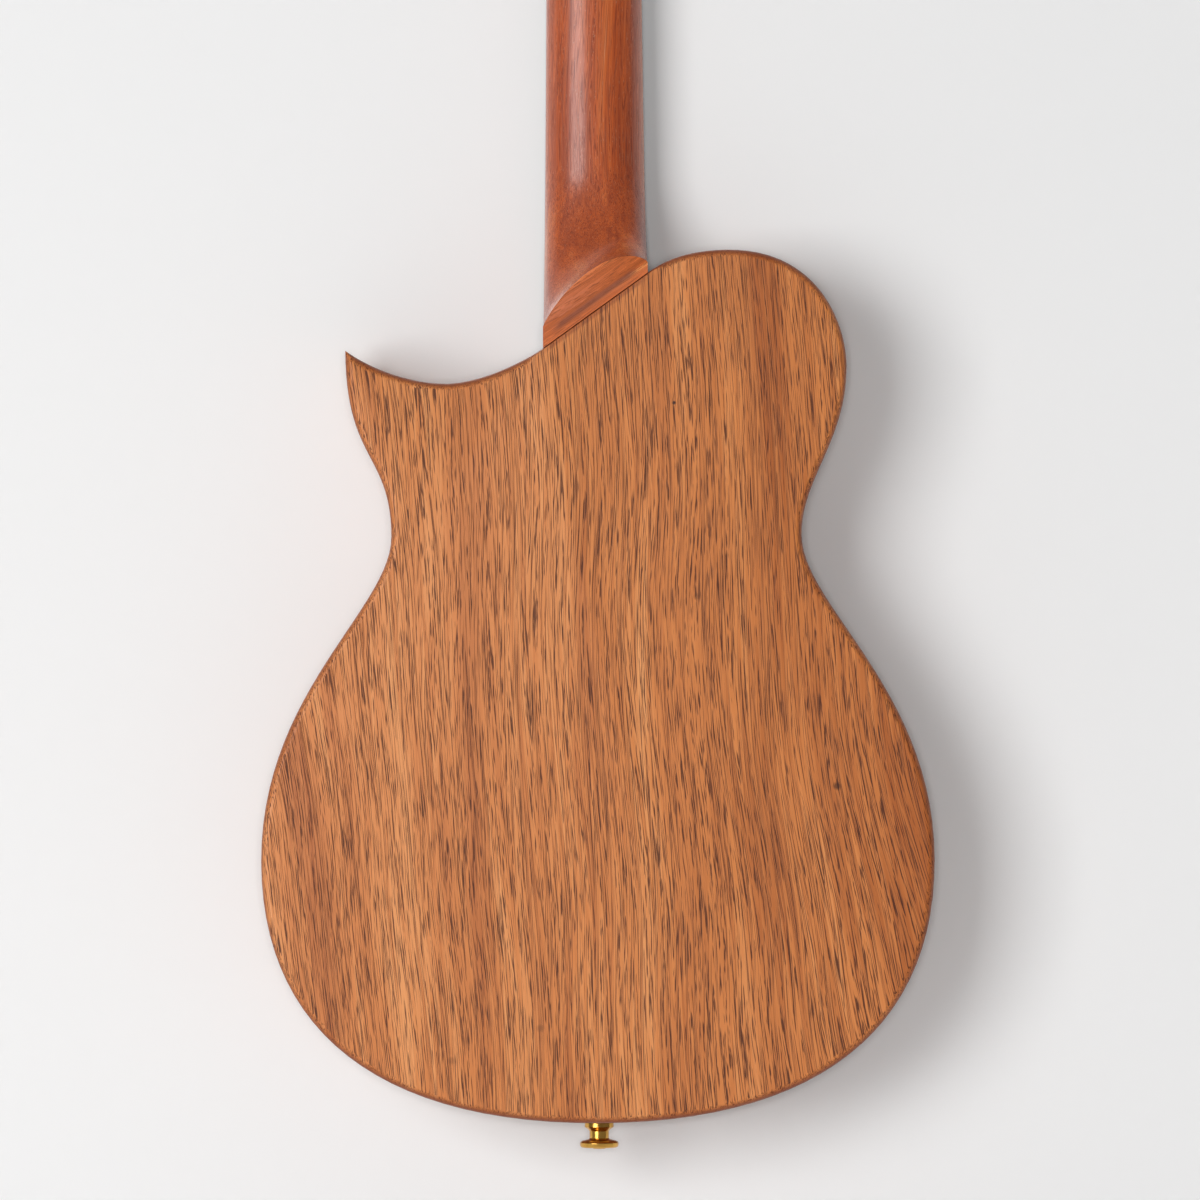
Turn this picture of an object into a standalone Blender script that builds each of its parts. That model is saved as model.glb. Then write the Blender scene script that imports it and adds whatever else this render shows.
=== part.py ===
# Baritone ukulele with a cutaway body, a set neck and four open worm tuners.
# Metres. +Z runs up the neck, the strings face -Y, and +X is the treble side, where the cutaway is.
# The origin is on the centreline, at the nut's front edge, on the plane that the fretboard is glued to.

from math import acos, atan2, cos, pi, radians, sin, sqrt, tan

import bmesh
import bpy
from mathutils import Matrix, Vector

# Clearances
GAP = 0.0003
CUT_OVER = 0.001

# Scale and strings
SCALE_LENGTH = 0.511
FRET_COUNT = 19
STRING_NAMES = ("d4", "g3", "b2", "e1")
STRING_DIAMETERS = (0.0009, 0.0008, 0.0008, 0.0007)
NUT_STRING_SPREAD = 0.0282
SADDLE_STRING_SPREAD = 0.0420
NUT_STRING_HEIGHT = 0.0013
SADDLE_STRING_HEIGHT = 0.0059
WINDING_TURNS = 2
WINDING_POINTS = 24
WINDING_SPACE = 0.0005

# Body outline, seen from behind
BODY_DEPTH = 0.048
TAIL_Z = -0.6096
BOUT_HALF_WIDTH = 0.1348
BOUT_Z = -0.5045
WAIST_HALF_WIDTH = 0.0821
WAIST_Z = -0.3744
SHOULDER_HALF_WIDTH = 0.1004
SHOULDER_Z = -0.3070
SHOULDER_TOP_X = -0.0533
SHOULDER_TOP_Z = -0.2602
JOINT_Z = -0.2843
JOINT_ANGLE = radians(35.5)
JOINT_HALF_LENGTH = 0.0265
CUTAWAY_X = 0.0600
CUTAWAY_Z = -0.3133
HORN_TIP_X = 0.1002
HORN_TIP_Z = -0.3000
HORN_LEAN = radians(36.0)
BODY_EDGE_RADIUS = 0.0030
BODY_EDGE_SEGMENTS = 3
OUTLINE_STEPS = 7

# Body walls
SOUNDBOARD_THICKNESS = 0.0028
SOUNDBOARD_EDGE_RADIUS = 0.0012
BACK_THICKNESS = 0.0040
RIM_THICKNESS = 0.0090
TAIL_BLOCK_THICKNESS = 0.0170
NECK_BLOCK_LENGTH = 0.0300
NECK_BLOCK_HALF_WIDTH = 0.0300
SOUNDHOLE_RADIUS = 0.0330
SOUNDHOLE_Z = -0.3880

# Bracing
BRACE_WIDTH = 0.0065
BRACE_HEIGHT = 0.0110
BRACE_END_HEIGHT = 0.0025
BRACE_END_SPACE = 0.0010
UPPER_BRACE_Z = -0.3480
LOWER_BRACE_Z = -0.4320
FAN_BRACE_LENGTH = 0.1300
FAN_BRACE_X = 0.0520
FAN_BRACE_Z = -0.5060
FAN_BRACE_LEAN = radians(8.0)
FAN_BRACE_WIDTH = 0.0060
FAN_BRACE_HEIGHT = 0.0085
BRIDGE_PLATE_SIZE = (0.0680, 0.0024, 0.0380)

# Neck
NUT_WIDTH = 0.0350
HEEL_WIDTH = 0.0412
NECK_DEPTH_AT_NUT = 0.0150
NECK_DEPTH_AT_HEEL = 0.0170
NECK_ROUNDNESS = 2.2
HEEL_ROUNDNESS = 8.0
HEEL_START_Z = -0.2250
HEEL_FLARE = 0.0005
HEEL_CAP_THICKNESS = 0.0035
HEEL_CAP_SIDE = 0.0050
HEEL_CAP_ARCH = 0.0124
HEEL_CAP_ARCH_POWER = 0.75
NECK_SIDE_POINTS = 12
TENON_HALF_WIDTH = 0.0080
TENON_FRONT_Y = 0.0080
TENON_BACK_Y = 0.0380
TENON_LENGTH = 0.0180
TENON_ROOT = 0.0026
ROD_WIDTH = 0.0060
ROD_DEPTH = 0.0060
ROD_TOP_Z = -0.0140
ROD_BOTTOM_Z = -0.2740

# Fretboard, frets and nut
FRETBOARD_THICKNESS = 0.0050
FRETBOARD_OVERHANG = 0.0050
FRET_CROWN_WIDTH = 0.0022
FRET_CROWN_HEIGHT = 0.0010
FRET_TANG_WIDTH = 0.0006
FRET_TANG_DEPTH = 0.0015
FRET_END_INSET = 0.0004
NUT_THICKNESS = 0.0050
NUT_HEIGHT = 0.0076

# Bridge and saddle
BRIDGE_HALF_LENGTH = 0.0500
BRIDGE_BLOCK_HALF_LENGTH = 0.0320
BRIDGE_WING_HEIGHT = 0.0038
BRIDGE_HEIGHT = 0.0080
BRIDGE_ABOVE_SADDLE = 0.0085
BRIDGE_BELOW_SADDLE = 0.0170
SADDLE_THICKNESS = 0.0030
SADDLE_HALF_LENGTH = 0.0290
SADDLE_SLOT_FLOOR = 0.0045
SADDLE_ROUND = 0.0013
SADDLE_BREAK = 0.0006
KNOT_RADIUS = 0.0019
KNOT_HEIGHT = 0.0046
KNOT_INSET = 0.0026
STRING_SLOT_FLOOR = 0.0030
STRING_SLOT_LENGTH = 0.0128

# Headstock
HEADSTOCK_ANGLE = radians(12.0)
HEADSTOCK_THICKNESS = 0.0130
HEADSTOCK_LENGTH = 0.1500
HEADSTOCK_SHOULDER_HALF_WIDTH = 0.0285
HEADSTOCK_SHOULDER = 0.0260
HEADSTOCK_TOP_HALF_WIDTH = 0.0305
HEADSTOCK_TOP_CORNER = 0.1430
VENEER_THICKNESS = 0.0020

# Worm tuners: the origin of each is its post's axis on the headstock's front face
POST_X = 0.0170
LOWER_POST_H = 0.0520
UPPER_POST_H = 0.1000
GEAR_TEETH = 14
GEAR_MODULE = 0.00075
GEAR_FACE = 0.0034
GEAR_TOOTH_SHARE = 0.42
GEAR_ADDENDUM = 0.00065
GEAR_DEDENDUM = 0.00090
WORM_PITCH_RADIUS = 0.0030
WORM_THREAD_SHARE = 0.40
WORM_ADDENDUM = 0.00070
WORM_ROOT_RADIUS = 0.0021
WORM_HALF_LENGTH = 0.0052
WORM_STEPS = 12
PRESSURE_ANGLE = radians(20.0)
PLATE_THICKNESS = 0.0012
EAR_THICKNESS = 0.0013
EAR_WIDTH = 0.0060
EAR_BEYOND_SHAFT = 0.0032
SHAFT_RADIUS = 0.0015
POST_RADIUS = 0.0030
POST_WAIST_RADIUS = 0.0026
POST_TOP = 0.0105
POST_HOLE_HEIGHT = 0.0092
POST_HOLE_RADIUS = 0.0007
HUB_RADIUS = 0.0038
GEAR_SCREW_RADIUS = 0.0026
GEAR_SCREW_HEIGHT = 0.0012
BUSHING_RADIUS = 0.0040
BUSHING_FLANGE_RADIUS = 0.0052
BUSHING_FLANGE = 0.0012
BUSHING_DEPTH = 0.0060
KNOB_START = 0.0155
KNOB_LENGTH = 0.0155
KNOB_RADIUS = 0.0075
KNOB_FLATNESS = 0.58
KNOB_COLLAR_RADIUS = 0.0042
KNOB_BORE_DEPTH = 0.0080
WINDING_START = 0.0052

# Strap button
STRAP_BUTTON_COLLAR_RADIUS = 0.00585
STRAP_BUTTON_WAIST_RADIUS = 0.0039
STRAP_BUTTON_FLANGE_RADIUS = 0.00775
STRAP_BUTTON_HEIGHT = 0.0105
STRAP_BUTTON_COLLAR = 0.0022
STRAP_BUTTON_FLANGE = 0.0028
SCREW_SHANK_RADIUS = 0.0015
SCREW_HEAD_RADIUS = 0.0035
SCREW_LENGTH = 0.0140

# Worked out from the sizes above
BODY_FRONT_Y = SOUNDBOARD_THICKNESS + GAP
CHAMBER_BACK_Y = BODY_DEPTH - BACK_THICKNESS
FRETBOARD_FRONT_Y = -(GAP + FRETBOARD_THICKNESS)
NUT_TOP_Y = -NUT_HEIGHT
NUT_STRING_Y = FRETBOARD_FRONT_Y - NUT_STRING_HEIGHT
SADDLE_STRING_Y = FRETBOARD_FRONT_Y - SADDLE_STRING_HEIGHT
HEADSTOCK_BASE_Z = NUT_THICKNESS + GAP
SADDLE_Z = -SCALE_LENGTH
BRIDGE_TOP_Z = SADDLE_Z + BRIDGE_ABOVE_SADDLE
BRIDGE_TAIL_Z = SADDLE_Z - BRIDGE_BELOW_SADDLE
PLATE_TOP = -(HEADSTOCK_THICKNESS + GAP)
PLATE_BOTTOM = PLATE_TOP - PLATE_THICKNESS
GEAR_PITCH_RADIUS = GEAR_MODULE * GEAR_TEETH / 2
WORM_LEAD = pi * GEAR_MODULE
WORM_CREST_RADIUS = WORM_PITCH_RADIUS + WORM_ADDENDUM
WORM_Y = -(GEAR_PITCH_RADIUS + WORM_PITCH_RADIUS)
WORM_Z = PLATE_BOTTOM - GAP - WORM_CREST_RADIUS
EAR_INNER_X = WORM_HALF_LENGTH + 2 * GAP
EAR_OUTER_X = EAR_INNER_X + EAR_THICKNESS
HEEL_BACK_Y = BODY_DEPTH - HEEL_CAP_THICKNESS - GAP
JOINT_SLOPE = -tan(JOINT_ANGLE)


def clear_scene():
    """Removes whatever the open file holds."""
    for thing in list(bpy.data.objects):
        bpy.data.objects.remove(thing, do_unlink=True)


def make_collection(name):
    """Returns a new collection linked to the scene."""
    collection = bpy.data.collections.new(name)
    bpy.context.scene.collection.children.link(collection)
    return collection


clear_scene()
PARTS = make_collection("baritone_ukulele")
CUTTERS = make_collection("cutters")


def make_material(name, colour, roughness, metallic=0.0):
    """Returns a Principled material of one colour."""
    material = bpy.data.materials.new(name)
    material.use_nodes = True
    shader = material.node_tree.nodes["Principled BSDF"]
    shader.inputs["Base Color"].default_value = (*colour, 1.0)
    shader.inputs["Roughness"].default_value = roughness
    shader.inputs["Metallic"].default_value = metallic
    material.diffuse_color = (*colour, 1.0)
    return material


MAHOGANY = make_material("satin_mahogany", (0.50, 0.19, 0.075), 0.45)
NECK_WOOD = make_material("neck_mahogany", (0.40, 0.12, 0.05), 0.35)
SPRUCE = make_material("brace_spruce", (0.66, 0.46, 0.25), 0.6)
ROSEWOOD = make_material("rosewood", (0.075, 0.035, 0.022), 0.5)
BONE = make_material("bone", (0.80, 0.74, 0.60), 0.35)
NICKEL_SILVER = make_material("nickel_silver", (0.66, 0.64, 0.60), 0.25, 1.0)
GOLD = make_material("gold_plate", (0.83, 0.58, 0.25), 0.22, 1.0)
STEEL = make_material("zinc_steel", (0.60, 0.60, 0.60), 0.35, 1.0)
PEARL = make_material("pearl_plastic", (0.83, 0.80, 0.72), 0.3)
NYLON = make_material("clear_nylon", (0.75, 0.72, 0.66), 0.3)
WOUND = make_material("wound_string", (0.60, 0.58, 0.55), 0.35, 1.0)


def keep(obj, name, material):
    """Names an object, gives it its material, shades it and puts it among the parts."""
    obj.name = name
    obj.data.materials.clear()
    obj.data.materials.append(material)
    if obj.type == "MESH":
        obj.data.shade_smooth()
        obj.data.set_sharp_from_angle(angle=radians(35))
    for collection in list(obj.users_collection):
        collection.objects.unlink(obj)
    PARTS.objects.link(obj)
    return obj


def helper(obj, name):
    """Makes an object a cutter: never rendered, drawn as wire, in its own collection."""
    obj.name = name
    obj.hide_render = True
    obj.display_type = "WIRE"
    for collection in list(obj.users_collection):
        collection.objects.unlink(obj)
    CUTTERS.objects.link(obj)
    return obj


def mesh_object(name, bm, matrix=None):
    """Turns a bmesh into an object placed by a matrix."""
    mesh = bpy.data.meshes.new(name)
    bmesh.ops.recalc_face_normals(bm, faces=bm.faces)
    bm.to_mesh(mesh)
    bm.free()
    obj = bpy.data.objects.new(name, mesh)
    obj.matrix_world = matrix or Matrix.Identity(4)
    bpy.context.scene.collection.objects.link(obj)
    return obj


def box(name, low, high, matrix=None):
    """Returns a box between two corners, given in the matrix's own frame."""
    low, high = Vector(low), Vector(high)
    bm = bmesh.new()
    bmesh.ops.create_cube(bm, size=1.0)
    bmesh.ops.scale(bm, vec=high - low, verts=bm.verts)
    bmesh.ops.translate(bm, vec=(low + high) / 2, verts=bm.verts)
    return mesh_object(name, bm, matrix)


def cylinder(name, radius, low, high, steps, matrix=None):
    """Returns a cylinder along the frame's Z from low to high."""
    bm = bmesh.new()
    bmesh.ops.create_cone(
        bm, cap_ends=True, segments=steps, radius1=radius, radius2=radius, depth=high - low
    )
    bmesh.ops.translate(bm, vec=(0, 0, (low + high) / 2), verts=bm.verts)
    return mesh_object(name, bm, matrix)


def boolean(obj, cutter, operation="DIFFERENCE"):
    """Adds an exact Boolean modifier."""
    modifier = obj.modifiers.new(cutter.name, "BOOLEAN")
    modifier.operation = operation
    modifier.object = cutter
    modifier.solver = "EXACT"


def bevel(obj, width, segments=1, angle=radians(40)):
    """Adds a Bevel on the edges sharper than the angle."""
    modifier = obj.modifiers.new("round", "BEVEL")
    modifier.width = width
    modifier.segments = segments
    modifier.limit_method = "ANGLE"
    modifier.angle_limit = angle


def turned(name, profile, steps, matrix=None):
    """Turns a profile of (radius, height) points, listed top to bottom, about the frame's Z."""
    mesh = bpy.data.meshes.new(name)
    edges = [(i, i + 1) for i in range(len(profile) - 1)]
    mesh.from_pydata([(r, 0, z) for r, z in profile], edges, [])
    obj = bpy.data.objects.new(name, mesh)
    bpy.context.scene.collection.objects.link(obj)
    obj.matrix_world = matrix or Matrix.Identity(4)
    screw = obj.modifiers.new("turn", "SCREW")
    screw.axis = "Z"
    screw.steps = steps
    screw.render_steps = steps
    screw.use_merge_vertices = True
    screw.merge_threshold = 0.00001
    screw.use_smooth_shade = True
    return obj


def frozen(obj):
    """Swaps an object for the mesh that its modifiers or its curve make, with caps welded."""
    bpy.context.view_layer.update()
    evaluated = obj.evaluated_get(bpy.context.evaluated_depsgraph_get())
    mesh = bpy.data.meshes.new_from_object(evaluated)
    bm = bmesh.new()
    bm.from_mesh(mesh)
    bmesh.ops.remove_doubles(bm, verts=bm.verts, dist=0.000002)
    bmesh.ops.dissolve_limit(
        bm, angle_limit=radians(0.2), verts=bm.verts, edges=bm.edges, use_dissolve_boundaries=False
    )
    bm.to_mesh(mesh)
    bm.free()
    solid = bpy.data.objects.new(obj.name, mesh)
    solid.matrix_world = obj.matrix_world.copy()
    bpy.context.scene.collection.objects.link(solid)
    bpy.data.objects.remove(obj, do_unlink=True)
    return solid


def flat_shape(name, knots, low, high, matrix, steps=OUTLINE_STEPS):
    """Extrudes a closed outline from low to high along the frame's Z.

    Each knot is (point, handle in, handle out), where a handle is a step from the point.
    """
    curve = bpy.data.curves.new(name, "CURVE")
    curve.dimensions = "2D"
    curve.fill_mode = "BOTH"
    curve.resolution_u = steps
    curve.extrude = (high - low) / 2
    spline = curve.splines.new("BEZIER")
    spline.bezier_points.add(len(knots) - 1)
    spline.use_cyclic_u = True
    for knot, (point, step_in, step_out) in zip(spline.bezier_points, knots):
        point = Vector((*point, 0))
        knot.co = point
        knot.handle_left_type = "FREE"
        knot.handle_right_type = "FREE"
        knot.handle_left = point + Vector((*step_in, 0))
        knot.handle_right = point + Vector((*step_out, 0))
    obj = bpy.data.objects.new(name, curve)
    obj.matrix_world = matrix @ Matrix.Translation((0, 0, (low + high) / 2))
    bpy.context.scene.collection.objects.link(obj)
    return frozen(obj)


def prism(name, points, low, high, matrix=None):
    """Extrudes a polygon from low to high along the frame's Z."""
    bm = bmesh.new()
    face = bm.faces.new([bm.verts.new((x, y, low)) for x, y in points])
    moved = bmesh.ops.extrude_face_region(bm, geom=[face])["geom"]
    moved = [item for item in moved if isinstance(item, bmesh.types.BMVert)]
    bmesh.ops.translate(bm, vec=(0, 0, high - low), verts=moved)
    return mesh_object(name, bm, matrix)


def corner(x, z):
    """Returns an outline knot with straight sides."""
    return ((x, z), (0, 0), (0, 0))


# A frame whose X and Y are the world's X and Z, and whose Z faces the front, -Y
FRONT_FRAME = Matrix.Rotation(pi / 2, 4, "X")


def front_plate(name, knots, front_y, back_y, steps=OUTLINE_STEPS):
    """Extrudes an outline in X and Z from one Y to another."""
    return flat_shape(name, knots, -back_y, -front_y, FRONT_FRAME, steps)


# A frame on the headstock's front face: Y runs up it and Z stands out of it
HEAD_FRAME = Matrix.Translation((0, 0, HEADSTOCK_BASE_Z)) @ Matrix.Rotation(
    pi / 2 - HEADSTOCK_ANGLE, 4, "X"
)


def body_outline():
    """Returns the body's knots, clockwise from the horn's tip, seen from behind."""
    along = Vector((-cos(JOINT_ANGLE), sin(JOINT_ANGLE)))
    seat_low = Vector((0, JOINT_Z)) - along * JOINT_HALF_LENGTH
    seat_high = Vector((0, JOINT_Z)) + along * JOINT_HALF_LENGTH
    lean = Vector((-cos(HORN_LEAN), -sin(HORN_LEAN)))
    waist_x, bout_x = WAIST_HALF_WIDTH, BOUT_HALF_WIDTH
    return [
        ((HORN_TIP_X, HORN_TIP_Z), (0, -0.0445), lean * 0.0117),
        ((CUTAWAY_X, CUTAWAY_Z), (0.0150, 0), (-0.0150, 0)),
        (tuple(seat_low), -along * 0.0060, (0, 0)),
        (tuple(seat_high), (0, 0), along * 0.0095),
        ((SHOULDER_TOP_X, SHOULDER_TOP_Z), (0.0140, 0), (-0.0360, 0)),
        ((-SHOULDER_HALF_WIDTH, SHOULDER_Z), (0, 0.0170), (0, -0.0300)),
        ((-waist_x, WAIST_Z), (0, 0.0225), (0, -0.0285)),
        ((-bout_x, BOUT_Z), (0, 0.0680), (0, -0.0675)),
        ((0, TAIL_Z), (-0.0880, 0), (0.0880, 0)),
        ((bout_x, BOUT_Z), (0, -0.0675), (0, 0.0680)),
        ((waist_x, WAIST_Z), (0, -0.0285), (0, 0.0335)),
    ]


def chamber_outline():
    """Returns the chamber's knots: the body's own, a rim's thickness further in.

    The horn, the neck block and the tail block stay solid.
    """
    rim = RIM_THICKNESS
    waist_x, bout_x = WAIST_HALF_WIDTH - rim, BOUT_HALF_WIDTH - rim
    block_x = -NECK_BLOCK_HALF_WIDTH
    block_z = JOINT_Z - NECK_BLOCK_LENGTH
    shoulder_z = SHOULDER_TOP_Z - rim
    tail_z = TAIL_Z + TAIL_BLOCK_THICKNESS
    horn_x = HORN_TIP_X - 2 * rim
    horn_z = CUTAWAY_Z - 2 * rim
    return [
        ((horn_x, horn_z), (0, -0.0200), (-0.0060, 0)),
        corner(CUTAWAY_X - 2 * rim, min(CUTAWAY_Z - rim, block_z) - rim / 2),
        corner(block_x, block_z - rim / 2),
        ((block_x, shoulder_z - rim), (0, 0), (0, 0.0040)),
        ((SHOULDER_TOP_X - rim / 2, shoulder_z), (0.0080, 0), (-0.0240, 0)),
        ((-SHOULDER_HALF_WIDTH + rim, SHOULDER_Z), (0, 0.0150), (0, -0.0280)),
        ((-waist_x, WAIST_Z), (0, 0.0225), (0, -0.0285)),
        ((-bout_x, BOUT_Z), (0, 0.0680), (0, -0.0610)),
        ((0, tail_z), (-0.0800, 0), (0.0800, 0)),
        ((bout_x, BOUT_Z), (0, -0.0610), (0, 0.0680)),
        ((waist_x, WAIST_Z), (0, -0.0285), (0, 0.0250)),
    ]


def curve_points(knots, steps=24):
    """Returns points along a closed outline's Bezier segments."""
    points = []
    for (start, _, out), (end, into, _) in zip(knots, knots[1:] + knots[:1]):
        a, d = Vector(start), Vector(end)
        b, c = a + Vector(out), d + Vector(into)
        for i in range(steps):
            t = i / steps
            s = 1 - t
            points.append(s**3 * a + 3 * s * s * t * b + 3 * s * t * t * c + t**3 * d)
    return points


def chamber_span(z):
    """Returns the chamber's lowest and highest X at a height."""
    points = curve_points(chamber_outline())
    hits = []
    for a, b in zip(points, points[1:] + points[:1]):
        if (a.y - z) * (b.y - z) < 0:
            hits.append(a.x + (b.x - a.x) * (z - a.y) / (b.y - a.y))
    return min(hits), max(hits)


def weigh_edges(obj, y):
    """Marks for bevelling the edges that lie on the plane at a world Y."""
    weights = obj.data.attributes.new("bevel_weight_edge", "FLOAT", "EDGE")
    heights = [(obj.matrix_world @ vertex.co).y for vertex in obj.data.vertices]
    for edge in obj.data.edges:
        if all(abs(heights[i] - y) < 0.00001 for i in edge.vertices):
            weights.data[edge.index].value = 1.0


def bevel_weighed(obj, width, segments):
    """Adds a Bevel on the marked edges."""
    modifier = obj.modifiers.new("edge_round", "BEVEL")
    modifier.width = width
    modifier.segments = segments
    modifier.limit_method = "WEIGHT"
    modifier.use_clamp_overlap = False


def make_body():
    """Back, rim and blocks carved from one plank, with a sound chamber open to the front."""
    body = front_plate("body_blank", body_outline(), BODY_FRONT_Y, BODY_DEPTH)
    weigh_edges(body, BODY_DEPTH)
    bevel_weighed(body, BODY_EDGE_RADIUS, BODY_EDGE_SEGMENTS)
    chamber = front_plate(
        "chamber_cutter", chamber_outline(), BODY_FRONT_Y - CUT_OVER, CHAMBER_BACK_Y, 6
    )
    boolean(body, helper(chamber, "chamber_cutter"))
    mortise = box(
        "mortise_cutter",
        (-TENON_HALF_WIDTH - GAP, TENON_FRONT_Y - GAP, JOINT_Z - TENON_LENGTH - GAP),
        (TENON_HALF_WIDTH + GAP, TENON_BACK_Y + GAP, JOINT_Z + 2 * TENON_LENGTH),
    )
    boolean(body, helper(mortise, "mortise_cutter"))
    pilot = cylinder(
        "strap_screw_pilot", SCREW_SHANK_RADIUS + GAP, -CUT_OVER, SCREW_LENGTH + GAP, 8, tail_frame()
    )
    boolean(body, helper(pilot, "strap_screw_pilot"))
    keep(body, "body", MAHOGANY)


def make_soundboard():
    """The top, glued over the chamber, with its round soundhole."""
    board = front_plate("soundboard_blank", body_outline(), 0.0, SOUNDBOARD_THICKNESS)
    weigh_edges(board, 0.0)
    bevel_weighed(board, SOUNDBOARD_EDGE_RADIUS, 1)
    hole = cylinder(
        "soundhole_cutter",
        SOUNDHOLE_RADIUS,
        -SOUNDBOARD_THICKNESS - CUT_OVER,
        CUT_OVER,
        36,
        Matrix.Translation((0, 0, SOUNDHOLE_Z)) @ FRONT_FRAME,
    )
    boolean(board, helper(hole, "soundhole_cutter"))
    keep(board, "soundboard", MAHOGANY)


def make_brace(name, centre, length, width, height, angle=0.0):
    """A brace glued under the soundboard, arched along its length, with low ends."""
    half = length / 2
    shoulder = half * 0.45
    knots = [
        corner(-half, 0),
        corner(half, 0),
        ((half, BRACE_END_HEIGHT), (0, 0), (-0.3 * half, 0)),
        ((0, height), (shoulder, 0), (-shoulder, 0)),
        ((-half, BRACE_END_HEIGHT), (0.3 * half, 0), (0, 0)),
    ]
    frame = Matrix.Translation((centre[0], BODY_FRONT_Y, centre[1])) @ Matrix(
        (
            (cos(angle), 0, -sin(angle), 0),
            (0, 1, 0, 0),
            (sin(angle), 0, cos(angle), 0),
            (0, 0, 0, 1),
        )
    )
    keep(flat_shape(name, knots, -width / 2, width / 2, frame, 5), name, SPRUCE)


def make_bracing():
    """Two cross braces, two fan braces and the bridge plate, all under the soundboard."""
    for name, z in (("upper_brace", UPPER_BRACE_Z), ("lower_brace", LOWER_BRACE_Z)):
        spans = [chamber_span(z + side * BRACE_WIDTH / 2) for side in (-1, 1)]
        left = max(span[0] for span in spans) + BRACE_END_SPACE
        right = min(span[1] for span in spans) - BRACE_END_SPACE
        make_brace(name, ((left + right) / 2, z), right - left, BRACE_WIDTH, BRACE_HEIGHT)
    for name, side in (("fan_brace_bass", -1), ("fan_brace_treble", 1)):
        angle = pi / 2 + side * FAN_BRACE_LEAN
        centre = (side * FAN_BRACE_X, FAN_BRACE_Z)
        make_brace(name, centre, FAN_BRACE_LENGTH, FAN_BRACE_WIDTH, FAN_BRACE_HEIGHT, angle)
    across, thick, tall = BRIDGE_PLATE_SIZE
    middle_z = (BRIDGE_TOP_Z + BRIDGE_TAIL_Z) / 2
    plate = box(
        "bridge_plate",
        (-across / 2, BODY_FRONT_Y, middle_z - tall / 2),
        (across / 2, BODY_FRONT_Y + thick, middle_z + tall / 2),
    )
    bevel(plate, thick / 3)
    keep(plate, "bridge_plate", SPRUCE)


def neck_half_width(z):
    """Half the width of the neck and fretboard at a height, on one straight taper."""
    taper = (HEEL_WIDTH - NUT_WIDTH) / 2 / -JOINT_Z
    return NUT_WIDTH / 2 - taper * min(z, 0.0)


def smooth(t):
    """Eases from 0 to 1."""
    t = min(max(t, 0.0), 1.0)
    return t * t * (3 - 2 * t)


def neck_section(half_width, depth, roundness):
    """Points of a D section across the neck's back, as (share of half width, x, y).

    The section is a superellipse: round at the shaft and nearly square at heel and headstock.
    """
    points = []
    for i in range(NECK_SIDE_POINTS + 1):
        angle = pi * i / NECK_SIDE_POINTS
        c, s = cos(angle), sin(angle)
        share = (1 if c > 0 else -1) * abs(c) ** (2 / roundness)
        if i * 2 == NECK_SIDE_POINTS:
            share = 0.0
        points.append((share, share * half_width, depth * max(s, 0.0) ** (2 / roundness)))
    points[0] = (1.0, half_width, 0.0)
    points[-1] = (-1.0, -half_width, 0.0)
    return points


def headstock_rows():
    """Rows of the transition from the shaft to the flat headstock, above the nut."""
    rows = []
    for h in (0.009, 0.003):
        section = neck_section(NUT_WIDTH / 2 - GAP, HEADSTOCK_THICKNESS - 2 * GAP, HEEL_ROUNDNESS)
        rows.append([HEAD_FRAME @ Vector((x, h, -y - GAP)) for _, x, y in section])
    return rows


def shaft_rows():
    """Rows of the shaft, each a section square to the neck."""
    rows = []
    for z in (0.0, -0.010, -0.022, -0.036, -0.052, -0.120, -0.180):
        share = z / HEEL_START_Z
        depth = NECK_DEPTH_AT_NUT + (NECK_DEPTH_AT_HEEL - NECK_DEPTH_AT_NUT) * share
        squareness = 1 - smooth(-z / 0.052)
        roundness = NECK_ROUNDNESS + 3.0 * squareness
        section = neck_section(neck_half_width(z), depth, roundness)
        rows.append([Vector((x, y, z)) for _, x, y in section])
    return rows


def heel_rows():
    """Rows of the heel, a quarter-ellipse cove that turns with the slanted body edge.

    Each row leans towards the body's edge as the heel deepens, and the last lies on the cap's arch.
    """
    rows = []
    cap_middle_z = JOINT_Z + HEEL_CAP_SIDE + HEEL_CAP_ARCH
    for step in range(11):
        t = step / 10
        sweep, drop = sin(t * pi / 2), 1 - cos(t * pi / 2)
        turn = smooth(t)
        middle_z = HEEL_START_Z + (cap_middle_z - HEEL_START_Z) * sweep
        width = neck_half_width(middle_z) + HEEL_FLARE * turn
        depth = NECK_DEPTH_AT_HEEL + (HEEL_BACK_Y - NECK_DEPTH_AT_HEEL) * drop
        roundness = NECK_ROUNDNESS + (HEEL_ROUNDNESS - NECK_ROUNDNESS) * turn
        row = []
        for share, x, y in neck_section(width, depth, roundness):
            arch = HEEL_CAP_ARCH * (1 - share * share) ** HEEL_CAP_ARCH_POWER
            row.append(Vector((x, y, middle_z + turn * (arch - HEEL_CAP_ARCH + JOINT_SLOPE * x))))
        rows.append(row)
    seat = JOINT_Z + GAP / cos(JOINT_ANGLE)
    rows.append([Vector((point.x, point.y, seat + JOINT_SLOPE * point.x)) for point in rows[-1]])
    return rows


def loft(name, rows):
    """Skins rows of points, each an open arc whose ends are joined by a flat front."""
    bm = bmesh.new()
    grid = [[bm.verts.new(point) for point in row] for row in rows]
    for upper, lower in zip(grid, grid[1:]):
        for i in range(len(upper)):
            j = (i + 1) % len(upper)
            bm.faces.new((upper[i], upper[j], lower[j], lower[i]))
    bm.faces.new(grid[0])
    bm.faces.new(reversed(grid[-1]))
    return mesh_object(name, bm)


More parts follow.
